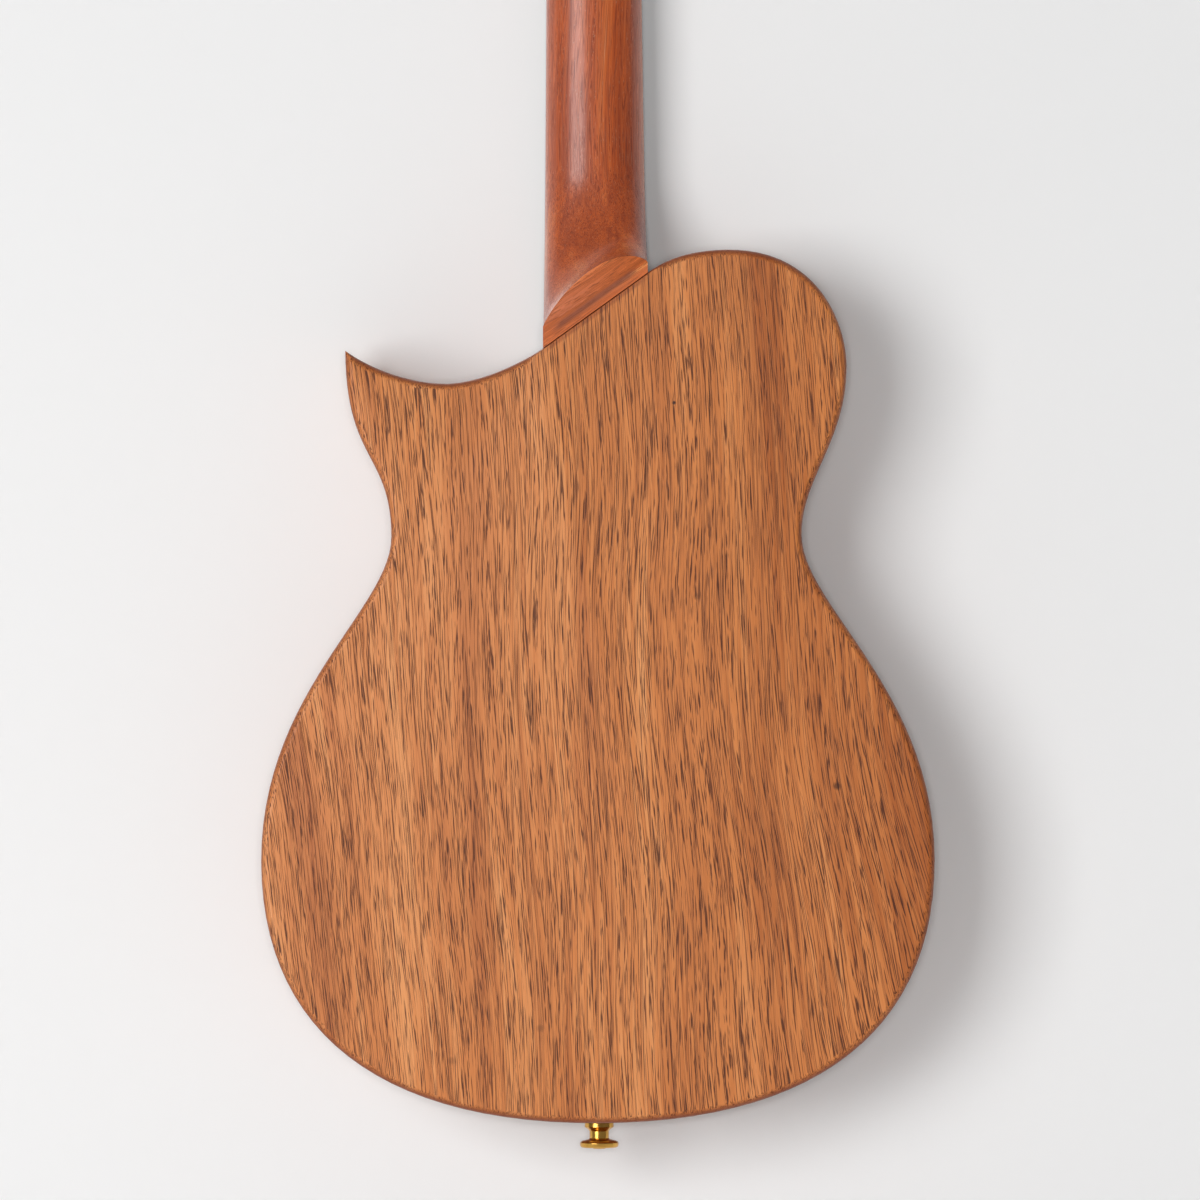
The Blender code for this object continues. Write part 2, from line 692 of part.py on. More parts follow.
def headstock_outline(shrink=0.0):
    """Knots of the headstock's outline, from the nut up one side and down the other."""
    base = NUT_WIDTH / 2 - shrink
    wide = HEADSTOCK_SHOULDER_HALF_WIDTH - shrink
    top = HEADSTOCK_TOP_HALF_WIDTH - shrink
    crown = HEADSTOCK_LENGTH - shrink
    low = GAP
    return [
        ((base, low), (0, 0), (0, 0.0080)),
        ((wide, HEADSTOCK_SHOULDER), (-0.0020, -0.0120), (0.0010, 0.0100)),
        ((top, HEADSTOCK_TOP_CORNER), (0, -0.0200), (-0.0080, 0.0010)),
        ((0, crown), (0.0120, 0), (-0.0120, 0)),
        ((-top, HEADSTOCK_TOP_CORNER), (0.0080, 0.0010), (0, -0.0200)),
        ((-wide, HEADSTOCK_SHOULDER), (-0.0010, 0.0100), (0.0020, -0.0120)),
        ((-base, low), (0, 0.0080), (0, 0)),
    ]


def post_places():
    """Returns (string, X, height up the headstock) of each tuner's post, bass side first."""
    return [
        ("d4", -POST_X, LOWER_POST_H),
        ("g3", -POST_X, UPPER_POST_H),
        ("b2", POST_X, UPPER_POST_H),
        ("e1", POST_X, LOWER_POST_H),
    ]


def post_frame(x, h):
    """A frame on the headstock's face at a post, with Z along the post."""
    return HEAD_FRAME @ Matrix.Translation((x, h, 0))


def make_post_holes():
    """Cutters for the four holes through headstock and veneer."""
    depth = HEADSTOCK_THICKNESS + CUT_OVER
    height = VENEER_THICKNESS + 2 * CUT_OVER
    radius = BUSHING_RADIUS + GAP
    return [
        helper(cylinder("hole_" + name, radius, -depth, height, 16, post_frame(x, h)), "hole_" + name)
        for name, x, h in post_places()
    ]


def make_neck(post_holes):
    """Shaft, heel, tenon and headstock, all one piece of wood."""
    neck = loft("neck_blank", headstock_rows() + shaft_rows() + heel_rows())
    slab = flat_shape("headstock_slab", headstock_outline(), -HEADSTOCK_THICKNESS, 0, HEAD_FRAME, 5)
    bevel(slab, 0.0010)
    boolean(neck, helper(slab, "headstock_slab"), "UNION")
    tenon = box(
        "tenon",
        (-TENON_HALF_WIDTH, TENON_FRONT_Y, JOINT_Z - TENON_LENGTH),
        (TENON_HALF_WIDTH, TENON_BACK_Y, JOINT_Z - JOINT_SLOPE * TENON_HALF_WIDTH + TENON_ROOT),
    )
    boolean(neck, helper(tenon, "tenon"), "UNION")
    channel = box(
        "rod_channel",
        (-ROD_WIDTH / 2 - GAP, -CUT_OVER, ROD_BOTTOM_Z - GAP),
        (ROD_WIDTH / 2 + GAP, ROD_DEPTH + 2 * GAP, ROD_TOP_Z + GAP),
    )
    boolean(neck, helper(channel, "rod_channel"))
    for hole in post_holes:
        boolean(neck, hole)
    keep(neck, "neck", NECK_WOOD)


def make_heel_cap():
    """The flat cap on the heel, level with the body's back."""
    width = neck_half_width(JOINT_Z + HEEL_CAP_SIDE) + HEEL_FLARE
    seat = JOINT_Z + GAP / cos(JOINT_ANGLE)
    count = 16
    points = [(width, seat + JOINT_SLOPE * width)]
    for i in range(count + 1):
        share = cos(pi * i / count)
        arch = HEEL_CAP_SIDE + HEEL_CAP_ARCH * max(1 - share * share, 0.0) ** HEEL_CAP_ARCH_POWER
        points.append((share * width, JOINT_Z + arch + JOINT_SLOPE * share * width))
    points.append((-width, seat - JOINT_SLOPE * width))
    knots = [corner(x, z) for x, z in points]
    cap = front_plate("heel_cap", knots, BODY_DEPTH - HEEL_CAP_THICKNESS, BODY_DEPTH, 1)
    keep(cap, "heel_cap", MAHOGANY)


def make_neck_rod():
    """The stiffening bar in its channel under the fretboard."""
    rod = box(
        "neck_rod", (-ROD_WIDTH / 2, GAP, ROD_BOTTOM_Z), (ROD_WIDTH / 2, GAP + ROD_DEPTH, ROD_TOP_Z)
    )
    bevel(rod, 0.0005)
    keep(rod, "neck_rod", STEEL)


def make_veneer(post_holes):
    """The thin rosewood face of the headstock."""
    veneer = flat_shape(
        "headstock_veneer", headstock_outline(), GAP, GAP + VENEER_THICKNESS, HEAD_FRAME, 5
    )
    for hole in post_holes:
        boolean(veneer, hole)
    keep(veneer, "headstock_veneer", ROSEWOOD)


def fret_z(number):
    """Height of a fret under the equal-tempered rule."""
    return -SCALE_LENGTH * (1 - 2 ** (-number / 12))


def make_fretboard():
    """The tapered rosewood board with a slot for each fret."""
    end_z = fret_z(FRET_COUNT) - FRETBOARD_OVERHANG
    knots = [
        corner(neck_half_width(0), 0),
        corner(-neck_half_width(0), 0),
        corner(-neck_half_width(end_z), end_z),
        corner(neck_half_width(end_z), end_z),
    ]
    board = front_plate("fretboard", knots, FRETBOARD_FRONT_Y, -GAP, 1)
    bm = bmesh.new()
    for number in range(1, FRET_COUNT + 1):
        slot = bmesh.ops.create_cube(bm, size=1.0)["verts"]
        size = (NUT_WIDTH * 2, 2 * (FRET_TANG_DEPTH + GAP), FRET_TANG_WIDTH + 2 * GAP)
        bmesh.ops.scale(bm, vec=size, verts=slot)
        bmesh.ops.translate(bm, vec=(0, FRETBOARD_FRONT_Y, fret_z(number)), verts=slot)
    boolean(board, helper(mesh_object("fret_slots", bm), "fret_slots"))
    keep(board, "fretboard", ROSEWOOD)


def make_frets():
    """T-shaped fret wire: a low crown on the board and a tang in its slot."""
    wide, tall = FRET_CROWN_WIDTH / 2, FRET_CROWN_HEIGHT
    tang, deep = FRET_TANG_WIDTH / 2, FRET_TANG_DEPTH + GAP
    profile = [
        (-wide, 0),
        (-0.68 * wide, 0.75 * tall),
        (0, tall),
        (0.68 * wide, 0.75 * tall),
        (wide, 0),
        (tang, 0),
        (tang, -deep),
        (-tang, -deep),
        (-tang, 0),
    ]
    # The profile's X runs up the neck, its Y stands out of the board and the extrusion crosses it
    frame = Matrix(((0, 0, 1, 0), (0, -1, 0, 0), (1, 0, 0, 0), (0, 0, 0, 1)))
    for number in range(1, FRET_COUNT + 1):
        z = fret_z(number)
        half = neck_half_width(z) - FRET_END_INSET
        place = Matrix.Translation((0, FRETBOARD_FRONT_Y - GAP, z)) @ frame
        knots = [corner(x, y) for x, y in profile]
        name = f"fret_{number:02d}"
        keep(flat_shape(name, knots, -half, half, place, 1), name, NICKEL_SILVER)


def string_x(index, spread):
    """X of a string, counted from the bass side, where the strings span the given width."""
    return spread * (index / (len(STRING_NAMES) - 1) - 0.5)


def nut_point(index):
    """Where a string's middle line breaks over the nut's front edge."""
    height = NUT_STRING_Y - STRING_DIAMETERS[index] / 2
    return Vector((string_x(index, NUT_STRING_SPREAD), height, 2 * GAP))


def saddle_point(index):
    """Where a string's middle line breaks over the saddle."""
    height = SADDLE_STRING_Y - STRING_DIAMETERS[index] / 2
    return Vector((string_x(index, SADDLE_STRING_SPREAD), height, SADDLE_Z - SADDLE_BREAK))


def winding_points(index):
    """Where a string meets its post, the turns round it and the trimmed end, in the world.

    The string arrives at the tangent on the post's inner side and climbs towards the string hole.
    """
    _, x, h = post_places()[index]
    side = 1 if x > 0 else -1
    sense = -side
    diameter = STRING_DIAMETERS[index]
    radius = POST_WAIST_RADIUS + GAP + diameter / 2
    nut = HEAD_FRAME.inverted() @ nut_point(index)
    away = Vector((nut.x - x, nut.y - h))
    start = atan2(away.y, away.x) + sense * acos(radius / away.length)
    pitch = diameter + WINDING_SPACE
    points = []
    for i in range(WINDING_TURNS * WINDING_POINTS + 1):
        turn = i / WINDING_POINTS
        angle = start + sense * 2 * pi * turn
        points.append(
            Vector((x + radius * cos(angle), h + radius * sin(angle), WINDING_START + pitch * turn))
        )
    end = start + sense * 2 * pi * WINDING_TURNS
    leave = Vector((-sin(end) * sense, cos(end) * sense, 0))
    points.append(points[-1] + leave * 2 * diameter)
    return [HEAD_FRAME @ point for point in points]


def least_gap(points, diameter):
    """Least gap between a winding's turns, measured between points at least half a turn apart."""
    least = 1.0
    for i, a in enumerate(points):
        for b in points[i + WINDING_POINTS // 2 :]:
            least = min(least, (a - b).length - diameter)
    return least


def knot_point(index):
    """Middle of a string's knot, in its pocket at the bridge's tail edge."""
    return Vector((string_x(index, SADDLE_STRING_SPREAD), -KNOT_HEIGHT, BRIDGE_TAIL_Z + KNOT_INSET))


def make_strings():
    """Four strings, each one tube from its knot over saddle and nut to its post."""
    for index, name in enumerate(STRING_NAMES):
        diameter = STRING_DIAMETERS[index]
        knot, saddle, nut = knot_point(index), saddle_point(index), nut_point(index)
        rise = (saddle - knot).normalized()
        swell = KNOT_RADIUS / (diameter / 2)
        route = [(knot + rise * KNOT_RADIUS * t, swell * sqrt(1 - t * t)) for t in (-0.9, -0.45, 0, 0.45)]
        route.append((knot + rise * KNOT_RADIUS, 1.0))
        winding = winding_points(index)
        toward = (winding[0] - nut).normalized()
        route += [(saddle, 1.0), (nut, 1.0), (winding[0] - toward * 2 * diameter, 1.0)]
        route += [(point, 1.0) for point in winding]
        curve = bpy.data.curves.new("string", "CURVE")
        curve.dimensions = "3D"
        curve.bevel_depth = diameter / 2
        curve.bevel_resolution = 1
        curve.use_fill_caps = True
        spline = curve.splines.new("POLY")
        spline.points.add(len(route) - 1)
        for place, (point, radius) in zip(spline.points, route):
            place.co = (*point, 1.0)
            place.radius = radius
        obj = bpy.data.objects.new("string", curve)
        bpy.context.scene.collection.objects.link(obj)
        keep(frozen(obj), "string_" + name, WOUND if index < 1 else NYLON)
        gap = least_gap(winding, diameter)
        print(f"string_{name}: least gap between turns {gap * 1000:.2f} mm")


def make_nut():
    """The bone nut, with a slot that slopes back under each string."""
    half = NUT_WIDTH / 2
    nut = box("nut", (-half, NUT_TOP_Y, GAP), (half, -GAP, GAP + NUT_THICKNESS - GAP))
    bevel(nut, 0.0006)
    for index, name in enumerate(STRING_NAMES):
        point = nut_point(index)
        along = (winding_points(index)[0] - point).normalized()
        across = along.cross(Vector((0, -1, 0))).normalized()
        out = across.cross(along)
        frame = Matrix.Translation(point) @ Matrix((across, along, out)).transposed().to_4x4()
        wide = STRING_DIAMETERS[index] / 2 + GAP
        slot = box(
            "nut_slot_" + name, (-wide, -0.004, -wide), (wide, NUT_THICKNESS * 2, NUT_HEIGHT), frame
        )
        boolean(nut, helper(slot, "nut_slot_" + name))
    keep(nut, "nut", BONE)


def make_bridge():
    """The rosewood bridge: a raised block between low wings, a saddle slot and string slots."""
    wing, block = BRIDGE_HALF_LENGTH, BRIDGE_BLOCK_HALF_LENGTH
    low, high = -(GAP + BRIDGE_WING_HEIGHT), -(GAP + BRIDGE_HEIGHT)
    ramp, tip = (wing - block) * 0.4, 0.0012
    # The ramp from wing to block is an S of cosine form
    rise = [(block + ramp * t, high + (low - high) * (1 - cos(pi * t)) / 2) for t in (0, 0.3, 0.5, 0.7, 1)]
    right = rise + [(wing - tip, low), (wing, low + tip), (wing, -GAP)]
    profile = right + [(-x, y) for x, y in reversed(right)]
    bridge = prism("bridge", profile, BRIDGE_TAIL_Z, BRIDGE_TOP_Z)
    slot = box(
        "saddle_slot",
        (-SADDLE_HALF_LENGTH - GAP, -BRIDGE_HEIGHT * 2, SADDLE_Z - SADDLE_THICKNESS / 2 - GAP),
        (SADDLE_HALF_LENGTH + GAP, -SADDLE_SLOT_FLOOR, SADDLE_Z + SADDLE_THICKNESS / 2 + GAP),
    )
    boolean(bridge, helper(slot, "saddle_slot"))
    pocket_floor = KNOT_HEIGHT - KNOT_RADIUS - GAP
    pocket_wide = KNOT_RADIUS + GAP
    for index, name in enumerate(STRING_NAMES):
        x = string_x(index, SADDLE_STRING_SPREAD)
        wide = STRING_DIAMETERS[index] / 2 + GAP
        knot_z = BRIDGE_TAIL_Z + KNOT_INSET
        notch = box(
            "string_notch_" + name,
            (x - wide, -BRIDGE_HEIGHT * 2, BRIDGE_TAIL_Z - CUT_OVER),
            (x + wide, -STRING_SLOT_FLOOR, BRIDGE_TAIL_Z + STRING_SLOT_LENGTH),
        )
        boolean(bridge, helper(notch, "string_notch_" + name))
        pocket = box(
            "knot_pocket_" + name,
            (x - pocket_wide, -BRIDGE_HEIGHT * 2, BRIDGE_TAIL_Z - CUT_OVER),
            (x + pocket_wide, -pocket_floor, knot_z + KNOT_RADIUS + GAP),
        )
        boolean(bridge, helper(pocket, "knot_pocket_" + name))
    keep(bridge, "bridge", ROSEWOOD)


def make_saddle():
    """The bone saddle standing in its slot, its top just under the strings."""
    half, thick = SADDLE_HALF_LENGTH, SADDLE_THICKNESS / 2
    saddle = box(
        "saddle",
        (-half, SADDLE_STRING_Y + GAP, SADDLE_Z - thick),
        (half, -SADDLE_SLOT_FLOOR - GAP, SADDLE_Z + thick),
    )
    bevel(saddle, SADDLE_ROUND, 3)
    keep(saddle, "saddle", BONE)


def tail_frame():
    """A frame at the tail's middle whose Z runs up into the body."""
    return Matrix.Translation((0, BODY_DEPTH / 2, TAIL_Z))


def make_strap_button():
    """The turned strap button on the tail, and the wood screw that holds it."""
    height, flange = STRAP_BUTTON_HEIGHT, STRAP_BUTTON_FLANGE
    collar, waist = STRAP_BUTTON_COLLAR_RADIUS, STRAP_BUTTON_WAIST_RADIUS
    rim = STRAP_BUTTON_FLANGE_RADIUS
    bore = SCREW_SHANK_RADIUS + GAP
    sink = SCREW_HEAD_RADIUS - SCREW_SHANK_RADIUS
    profile = [
        (bore, -GAP),
        (collar, -GAP),
        (collar, -GAP - STRAP_BUTTON_COLLAR),
        (waist, -GAP - STRAP_BUTTON_COLLAR - 0.0013),
        (waist, -height + flange + 0.0008),
        (rim - 0.0012, -height + flange),
        (rim, -height + flange - 0.0008),
        (rim, -height + 0.0008),
        (rim - 0.0008, -height),
        (bore + sink, -height),
        (bore, -height + sink),
        (bore, -GAP),
    ]
    button = frozen(turned("strap_button", profile, 20, tail_frame()))
    keep(button, "strap_button", GOLD)
    tip = 0.0025
    screw = [
        (0, SCREW_LENGTH),
        (SCREW_SHANK_RADIUS, SCREW_LENGTH - tip),
        (SCREW_SHANK_RADIUS, -height + sink + GAP),
        (SCREW_HEAD_RADIUS - GAP, -height + GAP),
        (SCREW_HEAD_RADIUS * 0.7, -height - 0.0004),
        (0, -height - 0.0006),
    ]
    keep(turned("strap_button_screw", screw, 10, tail_frame()), "strap_button_screw", GOLD)


def gear_face():
    """Outline of the toothed wheel: a trapezoid for each tooth."""
    root, tip = GEAR_PITCH_RADIUS - GEAR_DEDENDUM, GEAR_PITCH_RADIUS + GEAR_ADDENDUM
    tooth = GEAR_TOOTH_SHARE * WORM_LEAD
    half_root = (tooth / 2 + GEAR_DEDENDUM * tan(PRESSURE_ANGLE)) / GEAR_PITCH_RADIUS
    half_tip = (tooth / 2 - GEAR_ADDENDUM * tan(PRESSURE_ANGLE)) / GEAR_PITCH_RADIUS
    points = []
    for number in range(GEAR_TEETH):
        # The first tooth points up the headstock, so that a gap of the worm faces it from below
        middle = pi / 2 + 2 * pi * number / GEAR_TEETH
        for radius, turn in ((root, -half_root), (tip, -half_tip), (tip, half_tip), (root, half_root)):
            angle = middle + turn
            points.append((radius * cos(angle), radius * sin(angle)))
    return points


def make_gear_blank(name):
    """The wheel, each tooth leaned by the worm's lead angle, centred on the post's axis."""
    low, high = WORM_Z - GEAR_FACE / 2, WORM_Z + GEAR_FACE / 2
    lead_slope = WORM_LEAD / (2 * pi * WORM_PITCH_RADIUS)
    half_twist = lead_slope * GEAR_FACE / 2 / GEAR_PITCH_RADIUS
    wheel = prism(name, gear_face(), low, high)
    for vertex in wheel.data.vertices:
        twist = half_twist if vertex.co.z > (low + high) / 2 else -half_twist
        vertex.co = Matrix.Rotation(twist, 3, "Z") @ vertex.co
    return wheel


def make_post_blank(name):
    """The string post with its hub below and the gear's screw at the end."""
    hub_low = WORM_Z - GEAR_FACE / 2
    post, waist = POST_RADIUS, POST_WAIST_RADIUS
    flange_top = GAP * 2 + VENEER_THICKNESS + BUSHING_FLANGE
    profile = [
        (0, POST_TOP),
        (post - 0.0008, POST_TOP),
        (post, POST_TOP - 0.0008),
        (post, POST_TOP - 0.0018),
        (waist, POST_TOP - 0.0024),
        (waist, flange_top + 0.0006),
        (post, flange_top + 0.0002),
        (post, PLATE_BOTTOM - GAP),
        (HUB_RADIUS, PLATE_BOTTOM - GAP),
        (HUB_RADIUS, hub_low + GEAR_FACE / 2),
        (GEAR_SCREW_RADIUS, hub_low + GEAR_FACE / 2),
        (GEAR_SCREW_RADIUS, hub_low - GEAR_SCREW_HEIGHT + 0.0004),
        (GEAR_SCREW_RADIUS - 0.0006, hub_low - GEAR_SCREW_HEIGHT),
        (0, hub_low - GEAR_SCREW_HEIGHT),
    ]
    return frozen(turned(name, profile, 12))


def make_gear_post_mesh():
    """Wheel and post joined, with the string hole drilled across the post's waist."""
    blank = make_post_blank("gear_post")
    boolean(blank, helper(make_gear_blank("gear_wheel"), "gear_wheel"), "UNION")
    across = Matrix.Translation((0, 0, POST_HOLE_HEIGHT - 0.0004)) @ Matrix.Rotation(pi / 2, 4, "Y")
    hole = cylinder("string_hole", POST_HOLE_RADIUS, -POST_RADIUS * 2, POST_RADIUS * 2, 6, across)
    boolean(blank, helper(hole, "string_hole"))
    return frozen(blank)


def make_worm_ridge(name):
    """The worm's thread: a trapezoid carried along a helix about X, run out at both ends.

    A point at angle t about X lies at X = lead * t / turn, so the thread is right-handed.
    """
    half = WORM_THREAD_SHARE * WORM_LEAD / 2
    crest = half - WORM_ADDENDUM * tan(PRESSURE_ANGLE)
    sunk_radius = WORM_ROOT_RADIUS - 0.0003
    root = half + (WORM_PITCH_RADIUS - sunk_radius) * tan(PRESSURE_ANGLE)
    turns = 2 * (WORM_HALF_LENGTH - root) / WORM_LEAD
    steps = int(turns * WORM_STEPS)
    bm = bmesh.new()
    rings = []
    for i in range(steps + 1):
        # Angle 0 faces the wheel; at mid length the thread is half a turn away and a tooth fits
        turn = (i - steps / 2) / WORM_STEPS - 0.5
        angle = 2 * pi * turn
        x = WORM_LEAD * (turn + 0.5)
        fade = min(1.0, min(i, steps - i) / (WORM_STEPS / 3))
        outer = WORM_ROOT_RADIUS + 0.0001 + (WORM_CREST_RADIUS - WORM_ROOT_RADIUS - 0.0001) * fade
        ring = []
        for dx, radius in ((-root, sunk_radius), (-crest, outer), (crest, outer), (root, sunk_radius)):
            ring.append(bm.verts.new((x + dx, radius * cos(angle), radius * sin(angle))))
        rings.append(ring)
    for a, b in zip(rings, rings[1:]):
        for j in range(4):
            k = (j + 1) % 4
            bm.faces.new((a[j], a[k], b[k], b[j]))
    bm.faces.new(rings[0])
    bm.faces.new(reversed(rings[-1]))
    return mesh_object(name, bm)


def make_worm_mesh(side):
    """The worm shaft: journals, threaded core and the stem that carries the button."""
    ends = 0.0006
    inner, outer = EAR_OUTER_X + ends, KNOB_START + KNOB_BORE_DEPTH
    profile = [
        (0, outer),
        (SHAFT_RADIUS - 0.0003, outer),
        (SHAFT_RADIUS, outer - 0.0004),
        (SHAFT_RADIUS, WORM_HALF_LENGTH),
        (WORM_ROOT_RADIUS, WORM_HALF_LENGTH),
        (WORM_ROOT_RADIUS, -WORM_HALF_LENGTH),
        (SHAFT_RADIUS, -WORM_HALF_LENGTH),
        (SHAFT_RADIUS, -inner),
        (0, -inner),
    ]
    label = "treble" if side > 0 else "bass"
    core = turned("worm_core_" + label, profile, 10, Matrix.Rotation(side * pi / 2, 4, "Y"))
    shaft = frozen(core)
    ridge = helper(make_worm_ridge("worm_ridge_" + label), "worm_ridge_" + label)
    boolean(shaft, ridge, "UNION")
    return frozen(shaft)


def make_button_mesh(side):
    """The flattened oval button, bored to take the shaft."""
    radius, length = KNOB_RADIUS, KNOB_LENGTH
    profile = [
        (0, length),
        (0.50 * radius, 0.97 * length),
        (0.85 * radius, 0.82 * length),
        (radius, 0.60 * length),
        (0.90 * radius, 0.38 * length),
        (0.62 * radius, 0.22 * length),
        (KNOB_COLLAR_RADIUS, 0.12 * length),
        (KNOB_COLLAR_RADIUS, 0),
        (0, 0),
    ]
    label = "treble" if side > 0 else "bass"
    turn = Matrix.Rotation(side * pi / 2, 4, "Y")
    flat = Matrix.Diagonal((1, 1, KNOB_FLATNESS, 1))
    place = Matrix.Translation((side * KNOB_START, 0, 0))
    button = frozen(turned("button_" + label, profile, 14))
    button.data.transform(place @ flat @ turn)
    bore = cylinder(
        "button_bore_" + label, SHAFT_RADIUS + GAP, -CUT_OVER, KNOB_BORE_DEPTH + GAP, 10, place @ turn
    )
    boolean(button, helper(bore, "button_bore_" + label))
    return frozen(button)


def make_plate_mesh():
    """The folded plate: flat on the headstock's back, with two ears that carry the shaft."""
    half, round_end = EAR_OUTER_X, 0.0060
    low, high = WORM_Y - EAR_WIDTH / 2 - 0.0010, 0.0125
    bulge = 0.55 * round_end
    knots = [
        ((half, low + 0.0020), (0, -0.0011), (0, 0)),
        ((half, high - round_end), (0, 0), (0, bulge)),
        ((half - round_end, high), (bulge, 0), (0, 0)),
        ((-half + round_end, high), (0, 0), (-bulge, 0)),
        ((-half, high - round_end), (0, bulge), (0, 0)),
        ((-half, low + 0.0020), (0, 0), (0, -0.0011)),
        ((-half + 0.0020, low), (-0.0011, 0), (0, 0)),
        ((half - 0.0020, low), (0, 0), (0.0011, 0)),
    ]
    plate = flat_shape("tuner_plate", knots, PLATE_BOTTOM, PLATE_TOP, Matrix.Identity(4), 3)
    for label, side in (("bass", -1), ("treble", 1)):
        inner, outer = sorted((side * EAR_INNER_X, side * EAR_OUTER_X))
        ear = box(
            "ear_" + label,
            (inner, WORM_Y - EAR_WIDTH / 2, WORM_Z - EAR_BEYOND_SHAFT),
            (outer, WORM_Y + EAR_WIDTH / 2, PLATE_BOTTOM + PLATE_THICKNESS / 2),
        )
        boolean(plate, helper(ear, "ear_" + label), "UNION")
    shaft_line = Matrix.Translation((0, WORM_Y, WORM_Z)) @ Matrix.Rotation(pi / 2, 4, "Y")
    bore = cylinder(
        "shaft_bore", SHAFT_RADIUS + GAP, -EAR_OUTER_X * 2, EAR_OUTER_X * 2, 12, shaft_line
    )
    boolean(plate, helper(bore, "shaft_bore"))
    post_bore = cylinder("post_bore", POST_RADIUS + GAP, PLATE_BOTTOM - CUT_OVER, 0, 12)
    boolean(plate, helper(post_bore, "post_bore"))
    return frozen(plate)


def make_bushing_mesh():
    """The flanged bushing pressed into the headstock's face, in which the post turns."""
    bore, outer, flange = POST_RADIUS + GAP, BUSHING_RADIUS, BUSHING_FLANGE_RADIUS
    seat = VENEER_THICKNESS + 2 * GAP
    profile = [
        (bore, seat + BUSHING_FLANGE),
        (flange - 0.0005, seat + BUSHING_FLANGE),
        (flange, seat + BUSHING_FLANGE - 0.0005),
        (flange, seat),
        (outer, seat),
        (outer, -BUSHING_DEPTH),
        (bore, -BUSHING_DEPTH),
        (bore, seat + BUSHING_FLANGE),
    ]
    return frozen(turned("bushing", profile, 12))


def placed_copy(source, name, matrix, material):
    """A part that shares another's mesh, at its own place."""
    obj = bpy.data.objects.new(name, source.data)
    bpy.context.scene.collection.objects.link(obj)
    obj.matrix_world = matrix @ source.matrix_world
    return keep(obj, name, material)


def make_tuners():
    """Four open worm tuners, each a plate, bushing, post with wheel, worm shaft and button."""
    gear_post = make_gear_post_mesh()
    plate = make_plate_mesh()
    bushing = make_bushing_mesh()
    shafts = {side: make_worm_mesh(side) for side in (-1, 1)}
    buttons = {side: make_button_mesh(side) for side in (-1, 1)}
    for name, x, h in post_places():
        side = 1 if x > 0 else -1
        frame = post_frame(x, h)
        worm_frame = frame @ Matrix.Translation((0, WORM_Y, WORM_Z))
        placed_copy(plate, "tuner_plate_" + name, frame, GOLD)
        placed_copy(bushing, "tuner_bushing_" + name, frame, GOLD)
        placed_copy(gear_post, "tuner_post_" + name, frame, GOLD)
        placed_copy(shafts[side], "tuner_worm_" + name, worm_frame, GOLD)
        placed_copy(buttons[side], "tuner_button_" + name, worm_frame, PEARL)
    for source in (gear_post, plate, bushing, *shafts.values(), *buttons.values()):
        bpy.data.objects.remove(source, do_unlink=True)


def main():
    make_body()
    make_soundboard()
    make_bracing()
    post_holes = make_post_holes()
    make_neck(post_holes)
    make_heel_cap()
    make_neck_rod()
    make_veneer(post_holes)
    make_fretboard()
    make_frets()
    make_nut()
    make_bridge()
    make_saddle()
    make_strings()
    make_strap_button()
    make_tuners()


main()
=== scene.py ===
# A baritone ukulele seen from behind: its visual pieces, finishes, light and camera.
# Metres. +Z runs up the neck, the back faces +Y and the treble side with the cutaway is +X.

from math import cos, pi, radians, sin, tan

import bmesh
import bpy
import numpy as np
from mathutils import Matrix, Vector


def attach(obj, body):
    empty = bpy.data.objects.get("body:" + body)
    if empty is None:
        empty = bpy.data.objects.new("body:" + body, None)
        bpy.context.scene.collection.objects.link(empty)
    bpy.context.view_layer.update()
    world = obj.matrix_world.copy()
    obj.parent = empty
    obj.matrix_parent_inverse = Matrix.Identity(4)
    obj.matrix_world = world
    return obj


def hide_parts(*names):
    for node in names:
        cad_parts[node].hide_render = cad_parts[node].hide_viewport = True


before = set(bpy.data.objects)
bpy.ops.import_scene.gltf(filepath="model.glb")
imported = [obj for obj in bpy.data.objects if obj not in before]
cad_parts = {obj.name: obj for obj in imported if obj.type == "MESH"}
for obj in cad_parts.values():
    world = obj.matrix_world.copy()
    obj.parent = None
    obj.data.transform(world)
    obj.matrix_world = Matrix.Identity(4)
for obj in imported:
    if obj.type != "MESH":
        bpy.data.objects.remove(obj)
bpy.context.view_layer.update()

# Sizes that the pieces share with the solids they stand for
GAP = 0.0003
BODY_DEPTH = 0.048
SOUNDBOARD_THICKNESS = 0.0028
BACK_THICKNESS = 0.0040
EDGE_RADIUS = 0.0030
FRONT_EDGE_RADIUS = 0.0012
JOINT_Z = -0.2843
JOINT_ANGLE = radians(35.5)
JOINT_SLOPE = -tan(JOINT_ANGLE)
JOINT_HALF_LENGTH = 0.0265
SOUNDHOLE_Z = -0.3880
SOUNDHOLE_RADIUS = 0.0330
NUT_WIDTH = 0.0350
HEEL_WIDTH = 0.0412
NECK_DEPTHS = (0.0150, 0.0170)
NECK_ROUNDNESS = 2.2
HEEL_ROUNDNESS = 8.0
HEEL_START_Z = -0.2250
HEEL_FLARE = 0.0005
HEEL_CAP_THICKNESS = 0.0035
HEEL_CAP_SIDE = 0.0063
HEEL_CAP_SKEW = 0.0022
HEEL_CAP_ARCH = 0.0110
HEEL_CAP_ARCH_POWER = 0.80
SEAM = 0.00003
HEADSTOCK_ANGLE = radians(12.0)
HEADSTOCK_BASE_Z = 0.0053
HEADSTOCK_THICKNESS = 0.0130
VENEER_THICKNESS = 0.0020
POST_RADIUS = 0.0026
SCALE_LENGTH = 0.511
FRETBOARD_FRONT_Y = -0.0053
STRINGS = (("d4", 0.0009), ("g3", 0.0008), ("b2", 0.0008), ("e1", 0.0007))
